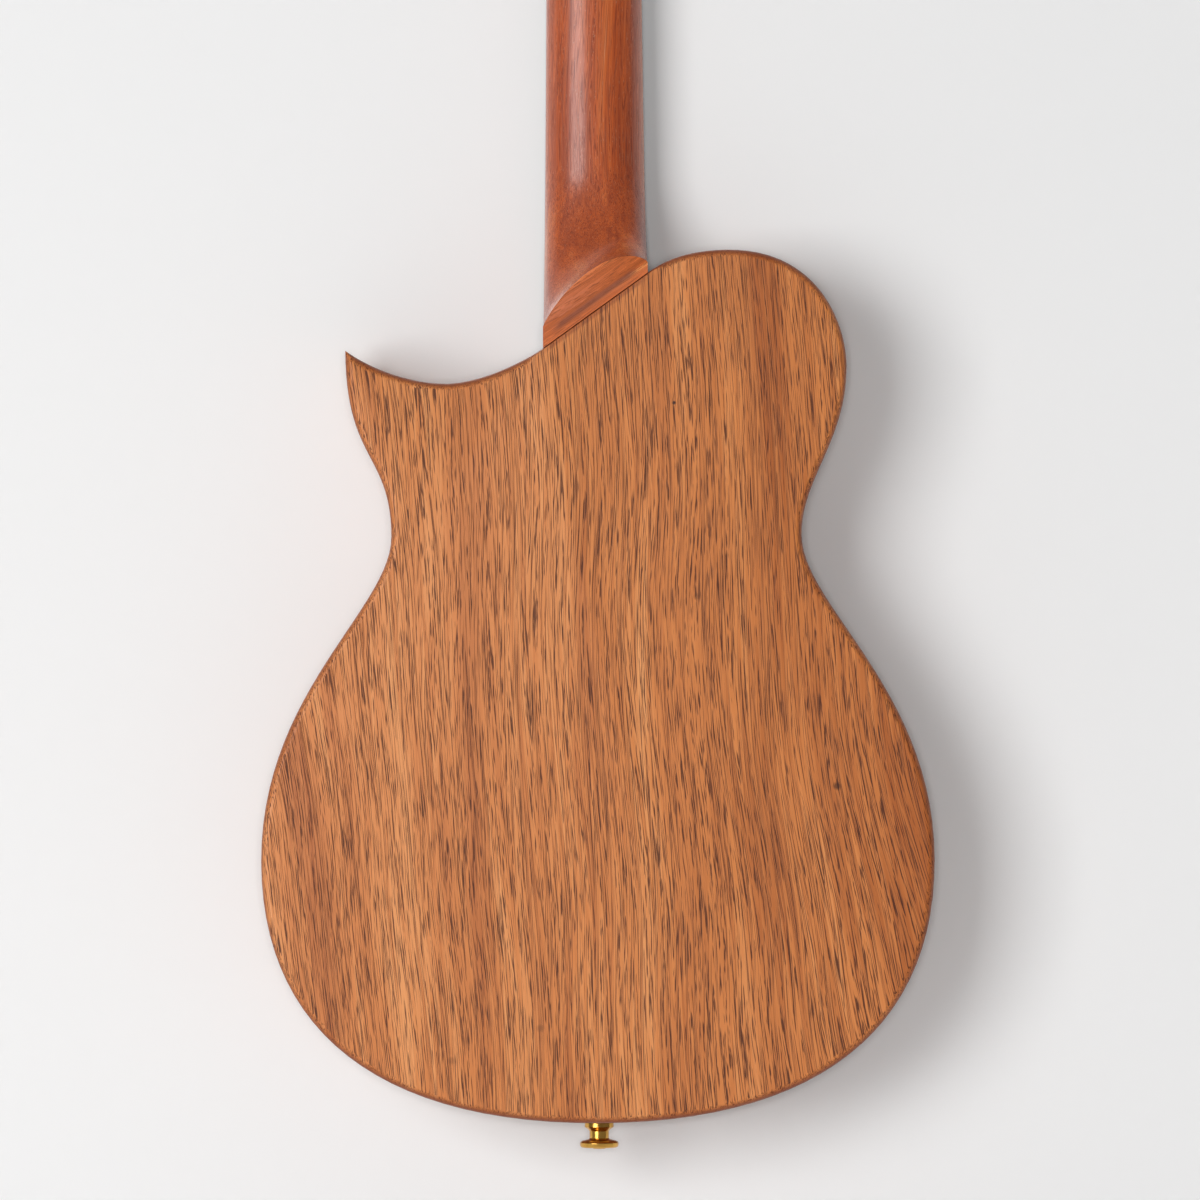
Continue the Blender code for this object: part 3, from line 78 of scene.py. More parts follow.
GRAIN_MIDDLE_Z = -0.40
POSTS = {"d4": (-0.017, 0.052), "g3": (-0.017, 0.100), "b2": (0.017, 0.100), "e1": (0.017, 0.052)}
TAIL = Vector((0, BODY_DEPTH / 2, -0.6096))

HEAD_FRAME = Matrix.Translation((0, 0, HEADSTOCK_BASE_Z)) @ Matrix.Rotation(
    pi / 2 - HEADSTOCK_ANGLE, 4, "X"
)


def linear(code):
    """Turns an sRGB hex colour into the linear colour that a shader takes."""
    parts = [int(code[i : i + 2], 16) / 255 for i in (1, 3, 5)]
    return (*[c / 12.92 if c <= 0.04045 else ((c + 0.055) / 1.055) ** 2.4 for c in parts], 1.0)


def add(tree, kind, inputs=None, **settings):
    """Adds a shader node with its settings, its values and its links."""
    made = tree.nodes.new("ShaderNode" + kind)
    for key, value in settings.items():
        setattr(made, key, value)
    for key, value in (inputs or {}).items():
        if isinstance(value, bpy.types.NodeSocket):
            tree.links.new(value, made.inputs[key])
        else:
            made.inputs[key].default_value = value
    return made


def new_material(name):
    """Returns a material and its empty node tree."""
    material = bpy.data.materials.new(name)
    material.use_nodes = True
    material.node_tree.nodes.clear()
    return material, material.node_tree


def close_material(tree, shader):
    """Links a shader to the material's output."""
    add(tree, "OutputMaterial", {"Surface": shader})


def spread(tree, value, low, high, start=0.0, end=1.0):
    """Maps a value between two bounds to a range, clamped at both ends."""
    return add(tree, "MapRange", {"Value": value, "From Min": low, "From Max": high, "To Min": start,
                                  "To Max": end}).outputs[0]


def grain_space(tree, turn, lean, bow):
    """Coordinates whose Z runs with the grain: turned about Y, leaned, and bowed to the sides.

    A line of grain keeps x - (lean + bow * x^2) * (z - GRAIN_MIDDLE_Z).
    """
    place = add(tree, "TexCoord")
    turned = add(tree, "Mapping", {"Vector": place.outputs["Object"], "Rotation": (0, turn, 0)})
    split = add(tree, "SeparateXYZ", {0: turned.outputs[0]})
    square = add(tree, "Math", {0: split.outputs[0], 1: split.outputs[0]}, operation="MULTIPLY")
    slope = add(tree, "Math", {0: square.outputs[0], 1: bow, 2: lean}, operation="MULTIPLY_ADD")
    height = add(tree, "Math", {0: split.outputs[2], 1: GRAIN_MIDDLE_Z}, operation="SUBTRACT")
    shift = add(tree, "Math", {0: slope.outputs[0], 1: height.outputs[0]}, operation="MULTIPLY")
    across = add(tree, "Math", {0: split.outputs[0], 1: shift.outputs[0]}, operation="SUBTRACT")
    lined = add(tree, "CombineXYZ", {0: across.outputs[0], 1: split.outputs[1], 2: split.outputs[2]})
    # Grain wanders a few millimetres over a hand's width
    drift = add(tree, "TexNoise", {"Vector": lined.outputs[0], "Scale": 6.0, "Detail": 1.0})
    wandered = add(tree, "VectorMath", {0: drift.outputs["Color"], 1: (0.016, 0.0, 0.0), 2: lined.outputs[0]},
                   operation="MULTIPLY_ADD")
    # Neighbouring fibres start at unlike heights, so that no rows show across the grain
    flat = add(tree, "VectorMath", {0: wandered.outputs[0], 1: (1, 1, 0)}, operation="MULTIPLY")
    step = add(tree, "TexNoise", {"Vector": flat.outputs[0], "Scale": 400.0, "Detail": 1.0})
    return add(tree, "VectorMath", {0: step.outputs["Color"], 1: (0.0, 0.0, 0.25), 2: wandered.outputs[0]},
               operation="MULTIPLY_ADD").outputs[0]


def streaks(tree, grain, spacing, length, low, high):
    """A mask of long dark streaks, the given spacing apart across the grain."""
    long = add(tree, "VectorMath", {0: grain, 1: (2 / spacing, 2 / spacing, 2 / length)}, operation="MULTIPLY")
    noise = add(tree, "TexNoise", {"Vector": long.outputs[0], "Scale": 1.0, "Detail": 2.0, "Roughness": 0.6})
    return spread(tree, noise.outputs["Fac"], low, high)


def pores(tree, grain, spacing, length, low, high):
    """A mask of open pores: long ellipsoids, one in each cell of the given spacing and length."""
    long = add(tree, "VectorMath", {0: grain, 1: (1 / spacing, 1 / spacing, 1 / length)}, operation="MULTIPLY")
    cell = add(tree, "TexVoronoi", {"Vector": long.outputs[0], "Scale": 1.0})
    return spread(tree, cell.outputs["Distance"], low, high, 1.0, 0.0)


def blend(tree, share, first, second):
    """Mixes two colours, each a socket or an sRGB code."""
    pair = [linear(c) if isinstance(c, str) else c for c in (first, second)]
    return add(tree, "Mix", {0: share, 6: pair[0], 7: pair[1]}, data_type="RGBA").outputs[2]


def wood(name, tones, dark, spacing=0.0011, length=0.016, turn=0.0, lean=0.0, bow=0.0, roughness=0.45,
         coat=0.0, depth=1.0, banding=1.0, shade=0.0, fleck=None, edge=None, stripe=None, knots=()):
    """Open-pored hardwood, planed and varnished: dark streaks and pores on slow bands of tone.

    Edges that turn away from the flat are tinted darker: partly finish soaked into end grain, partly painted shade.
    A painted shade can also darken the bass side. Knots are (x, z, radius, strength).
    """
    material, tree = new_material(name)
    grain = grain_space(tree, turn, lean, bow)
    long = add(tree, "VectorMath", {0: grain, 1: (1.0, 1.0, 0.06)}, operation="MULTIPLY")
    bands = add(tree, "TexNoise", {"Vector": long.outputs[0], "Scale": 60.0, "Detail": 3.0})
    short = add(tree, "VectorMath", {0: grain, 1: (1.0, 1.0, 0.25)}, operation="MULTIPLY")
    ribbon = add(tree, "TexNoise", {"Vector": short.outputs[0], "Scale": 140.0, "Detail": 2.0})
    tone = add(tree, "Math", {0: ribbon.outputs["Fac"], 1: 0.35, 2: 0.325 - 0.5 * banding},
               operation="MULTIPLY_ADD")
    tone = add(tree, "Math", {0: bands.outputs["Fac"], 1: banding, 2: tone.outputs[0]}, operation="MULTIPLY_ADD")
    if shade:
        # Painted shade: the plank grows slowly darker away from the treble side, the side away from the light
        split = add(tree, "SeparateXYZ", {0: add(tree, "TexCoord").outputs["Object"]})
        darker = add(tree, "Math", {0: split.outputs["X"], 1: 0.0}, operation="MINIMUM")
        tone = add(tree, "Math", {0: darker.outputs[0], 1: shade, 2: tone.outputs[0]}, operation="MULTIPLY_ADD")
    colour = blend(tree, spread(tree, tone.outputs[0], 0.30, 0.50), tones[0], tones[1])
    colour = blend(tree, spread(tree, tone.outputs[0], 0.50, 0.70), colour, tones[2])
    if stripe:
        # A band along the seam: (distance from it, half width, colour, reach to each side). On the body it is the
        # darker finish of the faded rounding, on the cap it is painted shade
        gap, half, tint, reach = stripe
        place = add(tree, "TexCoord")
        split = add(tree, "SeparateXYZ", {0: place.outputs["Object"]})
        side = add(tree, "Math", {0: split.outputs["X"]}, operation="ABSOLUTE")
        away = add(tree, "VectorMath", {0: place.outputs["Object"], 1: (sin(JOINT_ANGLE), 0, cos(JOINT_ANGLE))},
                   operation="DOT_PRODUCT")
        off = add(tree, "Math", {0: away.outputs["Value"], 1: JOINT_Z * cos(JOINT_ANGLE) + gap},
                  operation="SUBTRACT")
        off = add(tree, "Math", {0: off.outputs[0]}, operation="ABSOLUTE")
        share = add(tree, "Math", {0: spread(tree, off.outputs[0], half * 0.3, half, 0.8, 0.0),
                                   1: spread(tree, side.outputs[0], reach * 0.8, reach * 1.05, 1.0, 0.0)},
                    operation="MULTIPLY")
        colour = blend(tree, share.outputs[0], colour, tint)
    lines = streaks(tree, grain, spacing, length, 0.52, 0.60)
    holes = pores(tree, grain, spacing * 1.2, length * 0.6, 0.14, 0.28)
    both = add(tree, "Math", {0: lines, 1: holes}, operation="MAXIMUM").outputs[0]
    share = add(tree, "Math", {0: both, 1: 0.9 * depth}, operation="MULTIPLY").outputs[0]
    colour = blend(tree, share, colour, dark)
    if fleck:
        # Filler shows pale in the shortest pores
        specks = pores(tree, grain, spacing * 0.7, length * 0.10, 0.14, 0.28)
        share = add(tree, "Math", {0: specks, 1: 0.45}, operation="MULTIPLY").outputs[0]
        colour = blend(tree, share, colour, fleck)
    if knots:
        place = add(tree, "TexCoord")
        flat = add(tree, "VectorMath", {0: place.outputs["Object"], 1: (1, 0, 1)}, operation="MULTIPLY")
        for x, z, radius, strength in knots:
            away = add(tree, "VectorMath", {0: flat.outputs[0], 1: (x, 0, z)}, operation="DISTANCE")
            share = spread(tree, away.outputs["Value"], radius * 0.4, radius, strength, 0.0)
            colour = blend(tree, share, colour, "#3A1A0C")
    # Edges darkened by their normal: partly finish soaked into end grain, partly painted shade on the rounded edges
    # that turn from the light
    if edge:
        facing = add(tree, "NewGeometry")
        split = add(tree, "SeparateXYZ", {0: facing.outputs["Normal"]})
        flat = add(tree, "Math", {0: split.outputs["Y"]}, operation="ABSOLUTE")
        sides = spread(tree, flat.outputs[0], 0.50, 0.97, 0.60, 0.0)
        steep = add(tree, "Math", {0: split.outputs["Z"]}, operation="ABSOLUTE")
        ends = spread(tree, steep.outputs[0], 0.15, 0.70, 0.0, 0.85)
        soak_and_shade = add(tree, "Math", {0: sides, 1: ends}, operation="MAXIMUM")
        colour = blend(tree, soak_and_shade.outputs[0], colour, edge)
    rough = add(tree, "Math", {0: both, 1: 0.18, 2: roughness}, operation="MULTIPLY_ADD")
    bump = add(tree, "Bump", {"Height": both, "Strength": 0.25, "Distance": 0.0002}, invert=True)
    shader = add(tree, "BsdfPrincipled", {"Base Color": colour, "Roughness": rough.outputs[0],
                                          "Normal": bump.outputs[0], "IOR": 1.5, "Coat Weight": coat,
                                          "Coat Roughness": 0.24})
    close_material(tree, shader.outputs[0])
    return material


def metal(name, tone, scratch_tone, roughness, scratch=0.0004):
    """Polished and plated metal: a little cloudiness and fine rubbing marks in its gloss."""
    material, tree = new_material(name)
    place = add(tree, "TexCoord")
    cloud = add(tree, "TexNoise", {"Vector": place.outputs["Object"], "Scale": 1 / (scratch * 12), "Detail": 4.0})
    colour = add(tree, "Mix", {0: cloud.outputs["Fac"], 6: linear(tone), 7: linear(scratch_tone)}, data_type="RGBA")
    rubbed = add(tree, "Math", {0: cloud.outputs["Fac"], 1: 0.14, 2: roughness - 0.07}, operation="MULTIPLY_ADD")
    fine = add(tree, "TexNoise", {"Vector": place.outputs["Object"], "Scale": 1 / scratch, "Detail": 2.0})
    bump = add(tree, "Bump", {"Height": fine.outputs["Fac"], "Strength": 0.04, "Distance": 0.0001})
    shader = add(tree, "BsdfPrincipled", {"Base Color": colour.outputs[2], "Metallic": 1.0,
                                          "Roughness": rubbed.outputs[0], "Normal": bump.outputs[0]})
    close_material(tree, shader.outputs[0])
    return material


def moulded(name, tone, other_tone, roughness, cloud_size, sheen_ior=1.5, through=0.0):
    """Bone, pearl plastic or nylon: a clouded, polished solid."""
    material, tree = new_material(name)
    place = add(tree, "TexCoord")
    cloud = add(tree, "TexNoise", {"Vector": place.outputs["Object"], "Scale": 1 / cloud_size, "Detail": 5.0,
                                   "Distortion": 1.2})
    colour = add(tree, "Mix", {0: cloud.outputs["Fac"], 6: linear(tone), 7: linear(other_tone)}, data_type="RGBA")
    shader = add(tree, "BsdfPrincipled", {"Base Color": colour.outputs[2], "Roughness": roughness,
                                          "IOR": sheen_ior, "Transmission Weight": through})
    close_material(tree, shader.outputs[0])
    return material


def wound_wire(name):
    """Silver-plated wire wound round a core: rings a quarter of a millimetre apart along Z."""
    material, tree = new_material(name)
    place = add(tree, "TexCoord")
    rings = add(tree, "TexWave", {"Vector": place.outputs["Object"], "Scale": 1 / 0.0016}, bands_direction="Z")
    colour = add(tree, "Mix", {0: rings.outputs["Fac"], 6: linear("#6E6A64"), 7: linear("#C9C5BC")},
                 data_type="RGBA")
    bump = add(tree, "Bump", {"Height": rings.outputs["Fac"], "Strength": 0.5, "Distance": 0.0001})
    shader = add(tree, "BsdfPrincipled", {"Base Color": colour.outputs[2], "Metallic": 1.0, "Roughness": 0.32,
                                          "Normal": bump.outputs[0]})
    close_material(tree, shader.outputs[0])
    return material


# Marks on the back, as (x, z, radius, strength): a pin hole, a knot and three faint spots
BACK_MARKS = (
    (-0.0313, -0.3214, 0.0010, 1.0),
    (-0.0958, -0.4750, 0.0020, 0.75),
    (-0.0402, -0.3990, 0.0018, 0.35),
    (0.0591, -0.5842, 0.0020, 0.35),
    (0.0234, -0.5714, 0.0020, 0.35),
    (0.1301, -0.5382, 0.0012, 0.8),
)
# Mahogany plank, satin varnish: orange brown with dense dark pores, redder and darker round its edges, partly finish
# soaked into end grain and partly painted shade, with painted shade darkening it towards the bass side
BODY_WOOD = wood("mahogany_plank_satin_varnish", ("#B0602A", "#D48143", "#EDA163"), "#421606", spacing=0.0011,
                 length=0.022, lean=0.045, bow=9.0, banding=0.55, edge="#874222", shade=0.9, knots=BACK_MARKS,
                 stripe=(-0.0012, 0.0013, "#A85A2C", 0.0215))
# The cap's growth rings run with the body's slanted edge, and its dark band beside the seam is painted shade
CAP_WOOD = wood("mahogany_cap_satin_varnish", ("#B4561F", "#D66E32", "#EC944F"), "#7A3A18", turn=radians(54.5),
                spacing=0.0014, length=0.006, depth=0.75, stripe=(0.0036, 0.0017, "#7A3F2C", 0.0170))
# Neck blank: redder mahogany under a glossier coat, fine pores with pale filler
NECK_WOOD = wood("mahogany_neck_gloss_varnish", ("#9C3F14", "#BD551E", "#D47438"), "#6A240A", lean=-0.02,
                 spacing=0.0010, length=0.014, roughness=0.45, coat=0.6, depth=0.7, fleck="#D0A07C")
# Split spruce braces, left bare: pale, with fine close lines
SPRUCE = wood("split_spruce_bare", ("#C79A62", "#DDB682", "#EBCB9C"), "#B98B55", length=0.05, roughness=0.6,
              depth=0.6)
# Oiled rosewood: nearly black brown with reddish bands
ROSEWOOD = wood("rosewood_oiled", ("#2B1710", "#44261A", "#5F3826"), "#1B0D08", spacing=0.0009, roughness=0.45)
# Polished bone: creamy, faintly clouded
BONE = moulded("bone_polished", "#E8DFC6", "#D9CBA8", 0.32, 0.004)
# Moulded pearl plastic buttons
PEARL = moulded("pearl_plastic_moulded", "#F0EADB", "#CFC7B6", 0.22, 0.0025)
# Drawn nylon: clear and slightly milky
NYLON = moulded("nylon_drawn", "#D8D2C4", "#C9C2B2", 0.25, 0.002, 1.53)
# Black fibre strips of the rosette
BLACK_FIBRE = moulded("black_fibre_pressed", "#1B1817", "#2A2523", 0.5, 0.002)
# Gold-plated brass: warm, a little rubbed
GOLD = metal("brass_gold_plated", "#E3B45F", "#C8933F", 0.22)
# Nickel silver fret wire
NICKEL = metal("nickel_silver_polished", "#C9C6BE", "#A9A59C", 0.24)
# Zinc-plated steel rod
ZINC = metal("steel_zinc_plated", "#A8A8A6", "#8C8D8E", 0.38)
WOUND = wound_wire("silver_plated_wound_wire")


def bezier_outline(knots, steps):
    """Samples a closed outline: each span is the cubic of its ends and their handles."""
    t = np.linspace(0, 1, steps, endpoint=False)[:, None]
    spans = []
    for (start, _, out), (end, into, _) in zip(knots, knots[1:] + knots[:1]):
        a, d = np.array(start, float), np.array(end, float)
        b, c = a + np.array(out, float), d + np.array(into, float)
        spans.append((1 - t) ** 3 * a + 3 * (1 - t) ** 2 * t * b + 3 * (1 - t) * t * t * c + t**3 * d)
    return np.concatenate(spans)


def body_knots():
    """The body's outline, counter-clockwise from the horn's tip, as (point, handle in, handle out)."""
    along = np.array([-cos(JOINT_ANGLE), sin(JOINT_ANGLE)])
    joint = np.array([0, JOINT_Z])
    lean = np.array([-cos(radians(36)), -sin(radians(36))])
    return [
        ((0.1002, -0.3000), (0, -0.0445), lean * 0.0117),
        ((0.0600, -0.3133), (0.0150, 0), (-0.0150, 0)),
        (joint - along * JOINT_HALF_LENGTH, -along * 0.0060, (0, 0)),
        (joint + along * JOINT_HALF_LENGTH, (0, 0), along * 0.0095),
        ((-0.0533, -0.2602), (0.0140, 0), (-0.0360, 0)),
        ((-0.1004, -0.3070), (0, 0.0170), (0, -0.0300)),
        ((-0.0821, -0.3744), (0, 0.0225), (0, -0.0285)),
        ((-0.1348, -0.5045), (0, 0.0680), (0, -0.0675)),
        ((0, -0.6096), (-0.0880, 0), (0.0880, 0)),
        ((0.1348, -0.5045), (0, -0.0675), (0, 0.0680)),
        ((0.0821, -0.3744), (0, -0.0285), (0, 0.0335)),
    ]


def chamber_knots():
    """The sound chamber's outline, a rim's thickness inside the body and clear of its blocks."""
    return [
        ((0.0822, -0.3313), (0, -0.0200), (-0.0060, 0)),
        ((0.0420, -0.3268), (0, 0), (0, 0)),
        ((-0.0300, -0.3188), (0, 0), (0, 0)),
        ((-0.0300, -0.2782), (0, 0), (0, 0.0040)),
        ((-0.0578, -0.2692), (0.0080, 0), (-0.0240, 0)),
        ((-0.0914, -0.3070), (0, 0.0150), (0, -0.0280)),
        ((-0.0731, -0.3744), (0, 0.0225), (0, -0.0285)),
        ((-0.1258, -0.5045), (0, 0.0680), (0, -0.0610)),
        ((0, -0.5926), (-0.0800, 0), (0.0800, 0)),
        ((0.1258, -0.5045), (0, -0.0610), (0, 0.0680)),
        ((0.0731, -0.3744), (0, -0.0285), (0, 0.0250)),
    ]


def inset(outline, distance):
    """Moves each point of a counter-clockwise outline inwards along its normal.

    Where a sharp tip would fold over itself, its points meet at one, as a mitre does.
    """
    along = np.roll(outline, -1, 0) - np.roll(outline, 1, 0)
    along /= np.linalg.norm(along, axis=1, keepdims=True)
    distance = np.broadcast_to(distance, len(outline))
    moved = outline + distance[:, None] * np.stack([-along[:, 1], along[:, 0]], 1)
    start, run = outline[None], (np.roll(outline, -1, 0) - outline)[None]
    share = ((moved[:, None] - start) * run).sum(2) / np.maximum((run**2).sum(2), 1e-18)
    nearest = start + np.clip(share, 0, 1)[..., None] * run
    clear = np.linalg.norm(moved[:, None] - nearest, axis=2).min(1) >= distance * 0.97
    kept = np.flatnonzero(clear)
    for i in np.flatnonzero(~clear):
        before = kept[np.searchsorted(kept, i) - 1]
        after = kept[np.searchsorted(kept, i) % len(kept)]
        moved[i] = (moved[before] + moved[after]) / 2
    return moved


def solid_from_rings(name, rings, matrix=None):
    """Skins rings of points, an array of rings x points x 3, and caps both ends flat."""
    count, around = rings.shape[:2]
    index = np.arange(count * around).reshape(count, around)
    ahead = np.roll(index, -1, 1)
    quads = np.stack([index[:-1], ahead[:-1], ahead[1:], index[1:]], -1).reshape(-1, 4)
    mesh = bpy.data.meshes.new(name)
    faces = quads.tolist() + [index[0].tolist(), index[-1][::-1].tolist()]
    mesh.from_pydata(rings.reshape(-1, 3).tolist(), [], faces)
    bm = bmesh.new()
    bm.from_mesh(mesh)
    bmesh.ops.remove_doubles(bm, verts=bm.verts, dist=1e-6)
    bmesh.ops.dissolve_degenerate(bm, edges=bm.edges, dist=1e-7)
    bmesh.ops.recalc_face_normals(bm, faces=bm.faces)
    bm.to_mesh(mesh)
    bm.free()
    if matrix:
        mesh.transform(matrix)
    obj = bpy.data.objects.new(name, mesh)
    bpy.context.scene.collection.objects.link(obj)
    return obj


def finish_piece(obj, material, slot, *nodes, body="root", angle=32):
    """Shades a piece, gives it its finish, and lets it ride and stand for its nodes; the slot argument is not used.
    """
    obj.data.materials.clear()
    obj.data.materials.append(material)
    obj.data.shade_smooth()
    obj.data.set_sharp_from_angle(angle=radians(angle))
    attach(obj, body)
    if nodes:
        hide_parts(*nodes)
    return obj


def carved(obj, *cutters):
    """Cuts each cutter out of a piece and keeps the mesh that is left, if it is whole."""
    for cutter in cutters:
        modifier = obj.modifiers.new("cut", "BOOLEAN")
        modifier.operation = "DIFFERENCE"
        modifier.solver = "EXACT"
        modifier.object = cutter
    bpy.context.view_layer.update()
    mesh = bpy.data.meshes.new_from_object(obj.evaluated_get(bpy.context.evaluated_depsgraph_get()))
    obj.modifiers.clear()
    if len(mesh.polygons) >= len(obj.data.polygons) // 2:
        obj.data = mesh
    for cutter in cutters:
        bpy.data.objects.remove(cutter)
    return obj


def plate_rings(outline, steps, share=1.0):
    """Rings of a flat plate in X and Z: each step is (how far in, world Y); share scales it by point."""
    rings = []
    for inward, y in steps:
        points = inset(outline, inward * share) if inward else outline
        rings.append(np.stack([points[:, 0], np.full(len(points), y), points[:, 1]], 1))
    return np.array(rings)


def rounding(radius, base, direction, count=6):
    """Steps round an edge, a quarter circle in section, as (how far in, height)."""
    angles = np.linspace(0, pi / 2, count + 1)
    return [(radius * (1 - cos(a)), base + direction * radius * sin(a)) for a in angles]


def turned_rings(profile, around):
    """Rings of a solid turned about Z: profile holds (radius, height) from one end to the other."""
    profile = np.array(profile, float)
    angles = np.linspace(0, 2 * pi, around, endpoint=False)
    circle = np.stack([np.cos(angles), np.sin(angles)], 1)
    flat = profile[:, None, :1] * circle[None]
    return np.concatenate([flat, np.broadcast_to(profile[:, None, 1:], (len(profile), around, 1))], 2)


def facing_front(point):
    """A frame at a point whose Z stands out of the instrument's front."""
    return Matrix.Translation(point) @ Matrix.Rotation(pi / 2, 4, "X")


def make_body():
    """The plank body: walls, a rounded back edge, and the chamber carved into its front."""
    outline = bezier_outline(body_knots(), 26)
    steps = [(0, SOUNDBOARD_THICKNESS + GAP), (0, BODY_DEPTH / 2)]
    steps += rounding(EDGE_RADIUS, BODY_DEPTH - EDGE_RADIUS, 1)
    # The rounding fades out where the heel's cap meets the back
    off = np.abs(outline @ np.array([sin(JOINT_ANGLE), cos(JOINT_ANGLE)]) - JOINT_Z * cos(JOINT_ANGLE))
    near = np.clip(1 - off / 0.0015, 0, 1) * (np.abs(outline[:, 0]) < JOINT_HALF_LENGTH)
    body = solid_from_rings("body_plank", plate_rings(outline, steps, 1 - 0.8 * near))
    chamber = bezier_outline(chamber_knots(), 20)
    walls = plate_rings(chamber, [(0, SOUNDBOARD_THICKNESS - 0.002), (0, BODY_DEPTH - BACK_THICKNESS)])
    body = carved(body, solid_from_rings("chamber", walls))
    finish_piece(body, BODY_WOOD, "satin_mahogany", "body")


def make_soundboard():
    """The top plate with its soundhole and a small round on its front edge."""
    outline = bezier_outline(body_knots(), 26)
    steps = [(0, SOUNDBOARD_THICKNESS)]
    steps += rounding(FRONT_EDGE_RADIUS, FRONT_EDGE_RADIUS, -1, 3)
    board = solid_from_rings("soundboard_plate", plate_rings(outline, steps))
    hole = turned_rings([(SOUNDHOLE_RADIUS, -0.01), (SOUNDHOLE_RADIUS, 0.01)], 96)
    place = facing_front((0, 0, SOUNDHOLE_Z))
    board = carved(board, solid_from_rings("hole", hole, place))
    finish_piece(board, BODY_WOOD, "satin_mahogany", "soundboard")
    # Rosette: a dark, a light and a dark strip, a hair proud of the wood
    for name, inner, outer, material, slot in (
        ("rosette_inner", 0.0360, 0.0366, BLACK_FIBRE, "rosewood"),
        ("rosette_middle", 0.0366, 0.0392, BONE, "bone"),
        ("rosette_outer", 0.0392, 0.0398, BLACK_FIBRE, "rosewood"),
    ):
        proud = 0.00015
        profile = [(inner, 0), (inner, proud), (outer, proud), (outer, 0), (inner, 0)]
        rings = turned_rings(profile, 96)
        ring = solid_from_loop(name, rings, place)
        finish_piece(ring, material, slot)


def solid_from_loop(name, rings, matrix):
    """Skins rings whose last meets the first, such as a turned ring, with no caps."""
    count, around = rings.shape[0] - 1, rings.shape[1]
    index = np.arange(count * around).reshape(count, around)
    ahead, below = np.roll(index, -1, 1), np.roll(index, -1, 0)
    quads = np.stack([index, ahead, np.roll(ahead, -1, 0), below], -1).reshape(-1, 4)
    mesh = bpy.data.meshes.new(name)
    mesh.from_pydata(rings[:-1].reshape(-1, 3).tolist(), [], quads.tolist())
    bm = bmesh.new()
    bm.from_mesh(mesh)
    bmesh.ops.recalc_face_normals(bm, faces=bm.faces)
    bm.to_mesh(mesh)
    bm.free()
    mesh.transform(matrix)
    obj = bpy.data.objects.new(name, mesh)
    bpy.context.scene.collection.objects.link(obj)
    return obj


def half_width(z):
    """Half the neck's width at a height, on one straight taper."""
    return NUT_WIDTH / 2 - (HEEL_WIDTH - NUT_WIDTH) / 2 / -JOINT_Z * min(z, 0.0)


def ease(t):
    """Eases from 0 to 1."""
    t = min(max(t, 0.0), 1.0)
    return t * t * (3 - 2 * t)


def d_section(width, depth, roundness, count=56):
    """A D section as arrays of share, x and y: a superellipse from edge to edge of a flat front."""
    angle = np.linspace(0, pi, count + 1)
    c, s = np.cos(angle), np.maximum(np.sin(angle), 0)
    share = np.sign(c) * np.abs(c) ** (2 / roundness)
    return share, share * width, depth * s ** (2 / roundness)


def cap_height(share):
    """How far the cap's arch stands above the seam, at a share of the heel's half width."""
    return HEEL_CAP_SIDE + HEEL_CAP_SKEW * share + HEEL_CAP_ARCH * np.maximum(1 - share**2, 0) ** HEEL_CAP_ARCH_POWER


def make_neck():
    """Shaft and heel in one loft, from inside the headstock to the slanted seat on the body.

    The heel is a quarter-ellipse cove whose rows turn with the body's edge and end on the cap's arch.
    """
    rows = []
    for h in (0.009, 0.003):
        _, x, y = d_section(NUT_WIDTH / 2 - GAP, HEADSTOCK_THICKNESS - 2 * GAP, HEEL_ROUNDNESS)
        local = np.stack([x, np.full_like(x, h), -y - GAP, np.ones_like(x)], 1)
        rows.append((local @ np.array(HEAD_FRAME).T)[:, :3])
    for z in np.concatenate([np.linspace(0, -0.060, 13), np.linspace(-0.075, -0.210, 10)]):
        depth = NECK_DEPTHS[0] + (NECK_DEPTHS[1] - NECK_DEPTHS[0]) * z / HEEL_START_Z
        roundness = NECK_ROUNDNESS + 3.0 * (1 - ease(-z / 0.052))
        _, x, y = d_section(half_width(z), depth, roundness)
        rows.append(np.stack([x, y, np.full_like(x, z)], 1))
    cap_z = JOINT_Z + cap_height(0.0)
    heel_back = BODY_DEPTH - HEEL_CAP_THICKNESS - GAP
    for t in np.linspace(0, 1, 33):
        middle = HEEL_START_Z + (cap_z - HEEL_START_Z) * sin(t * pi / 2)
        turn = ease(t)
        depth = NECK_DEPTHS[1] + (heel_back - NECK_DEPTHS[1]) * (1 - cos(t * pi / 2))
        roundness = NECK_ROUNDNESS + (HEEL_ROUNDNESS - NECK_ROUNDNESS) * turn
        share, x, y = d_section(half_width(middle) + HEEL_FLARE * turn, depth, roundness)
        lift = cap_height(share) - cap_height(0.0) + JOINT_SLOPE * x
        rows.append(np.stack([x, y, middle + turn * lift], 1))
    last = rows[-1].copy()
    last[:, 2] = JOINT_Z + SEAM / cos(JOINT_ANGLE) + JOINT_SLOPE * last[:, 0]
    rows.append(last)
    neck = solid_from_rings("neck_shaft", np.array(rows))
    finish_piece(neck, NECK_WOOD, "neck_mahogany", "neck", angle=40)


def headstock_knots():
    """The headstock's outline, from the nut up the treble side and down the other."""
    base, wide, top = NUT_WIDTH / 2, 0.0285, 0.0305
    return [
        ((base, GAP), (0, 0), (0, 0.0080)),
        ((wide, 0.0260), (-0.0020, -0.0120), (0.0010, 0.0100)),
        ((top, 0.1430), (0, -0.0200), (-0.0080, 0.0010)),
        ((0, 0.1500), (0.0120, 0), (-0.0120, 0)),
        ((-top, 0.1430), (0.0080, 0.0010), (0, -0.0200)),
        ((-wide, 0.0260), (-0.0010, 0.0100), (0.0020, -0.0120)),
        ((-base, GAP), (0, 0.0080), (0, 0)),
    ]


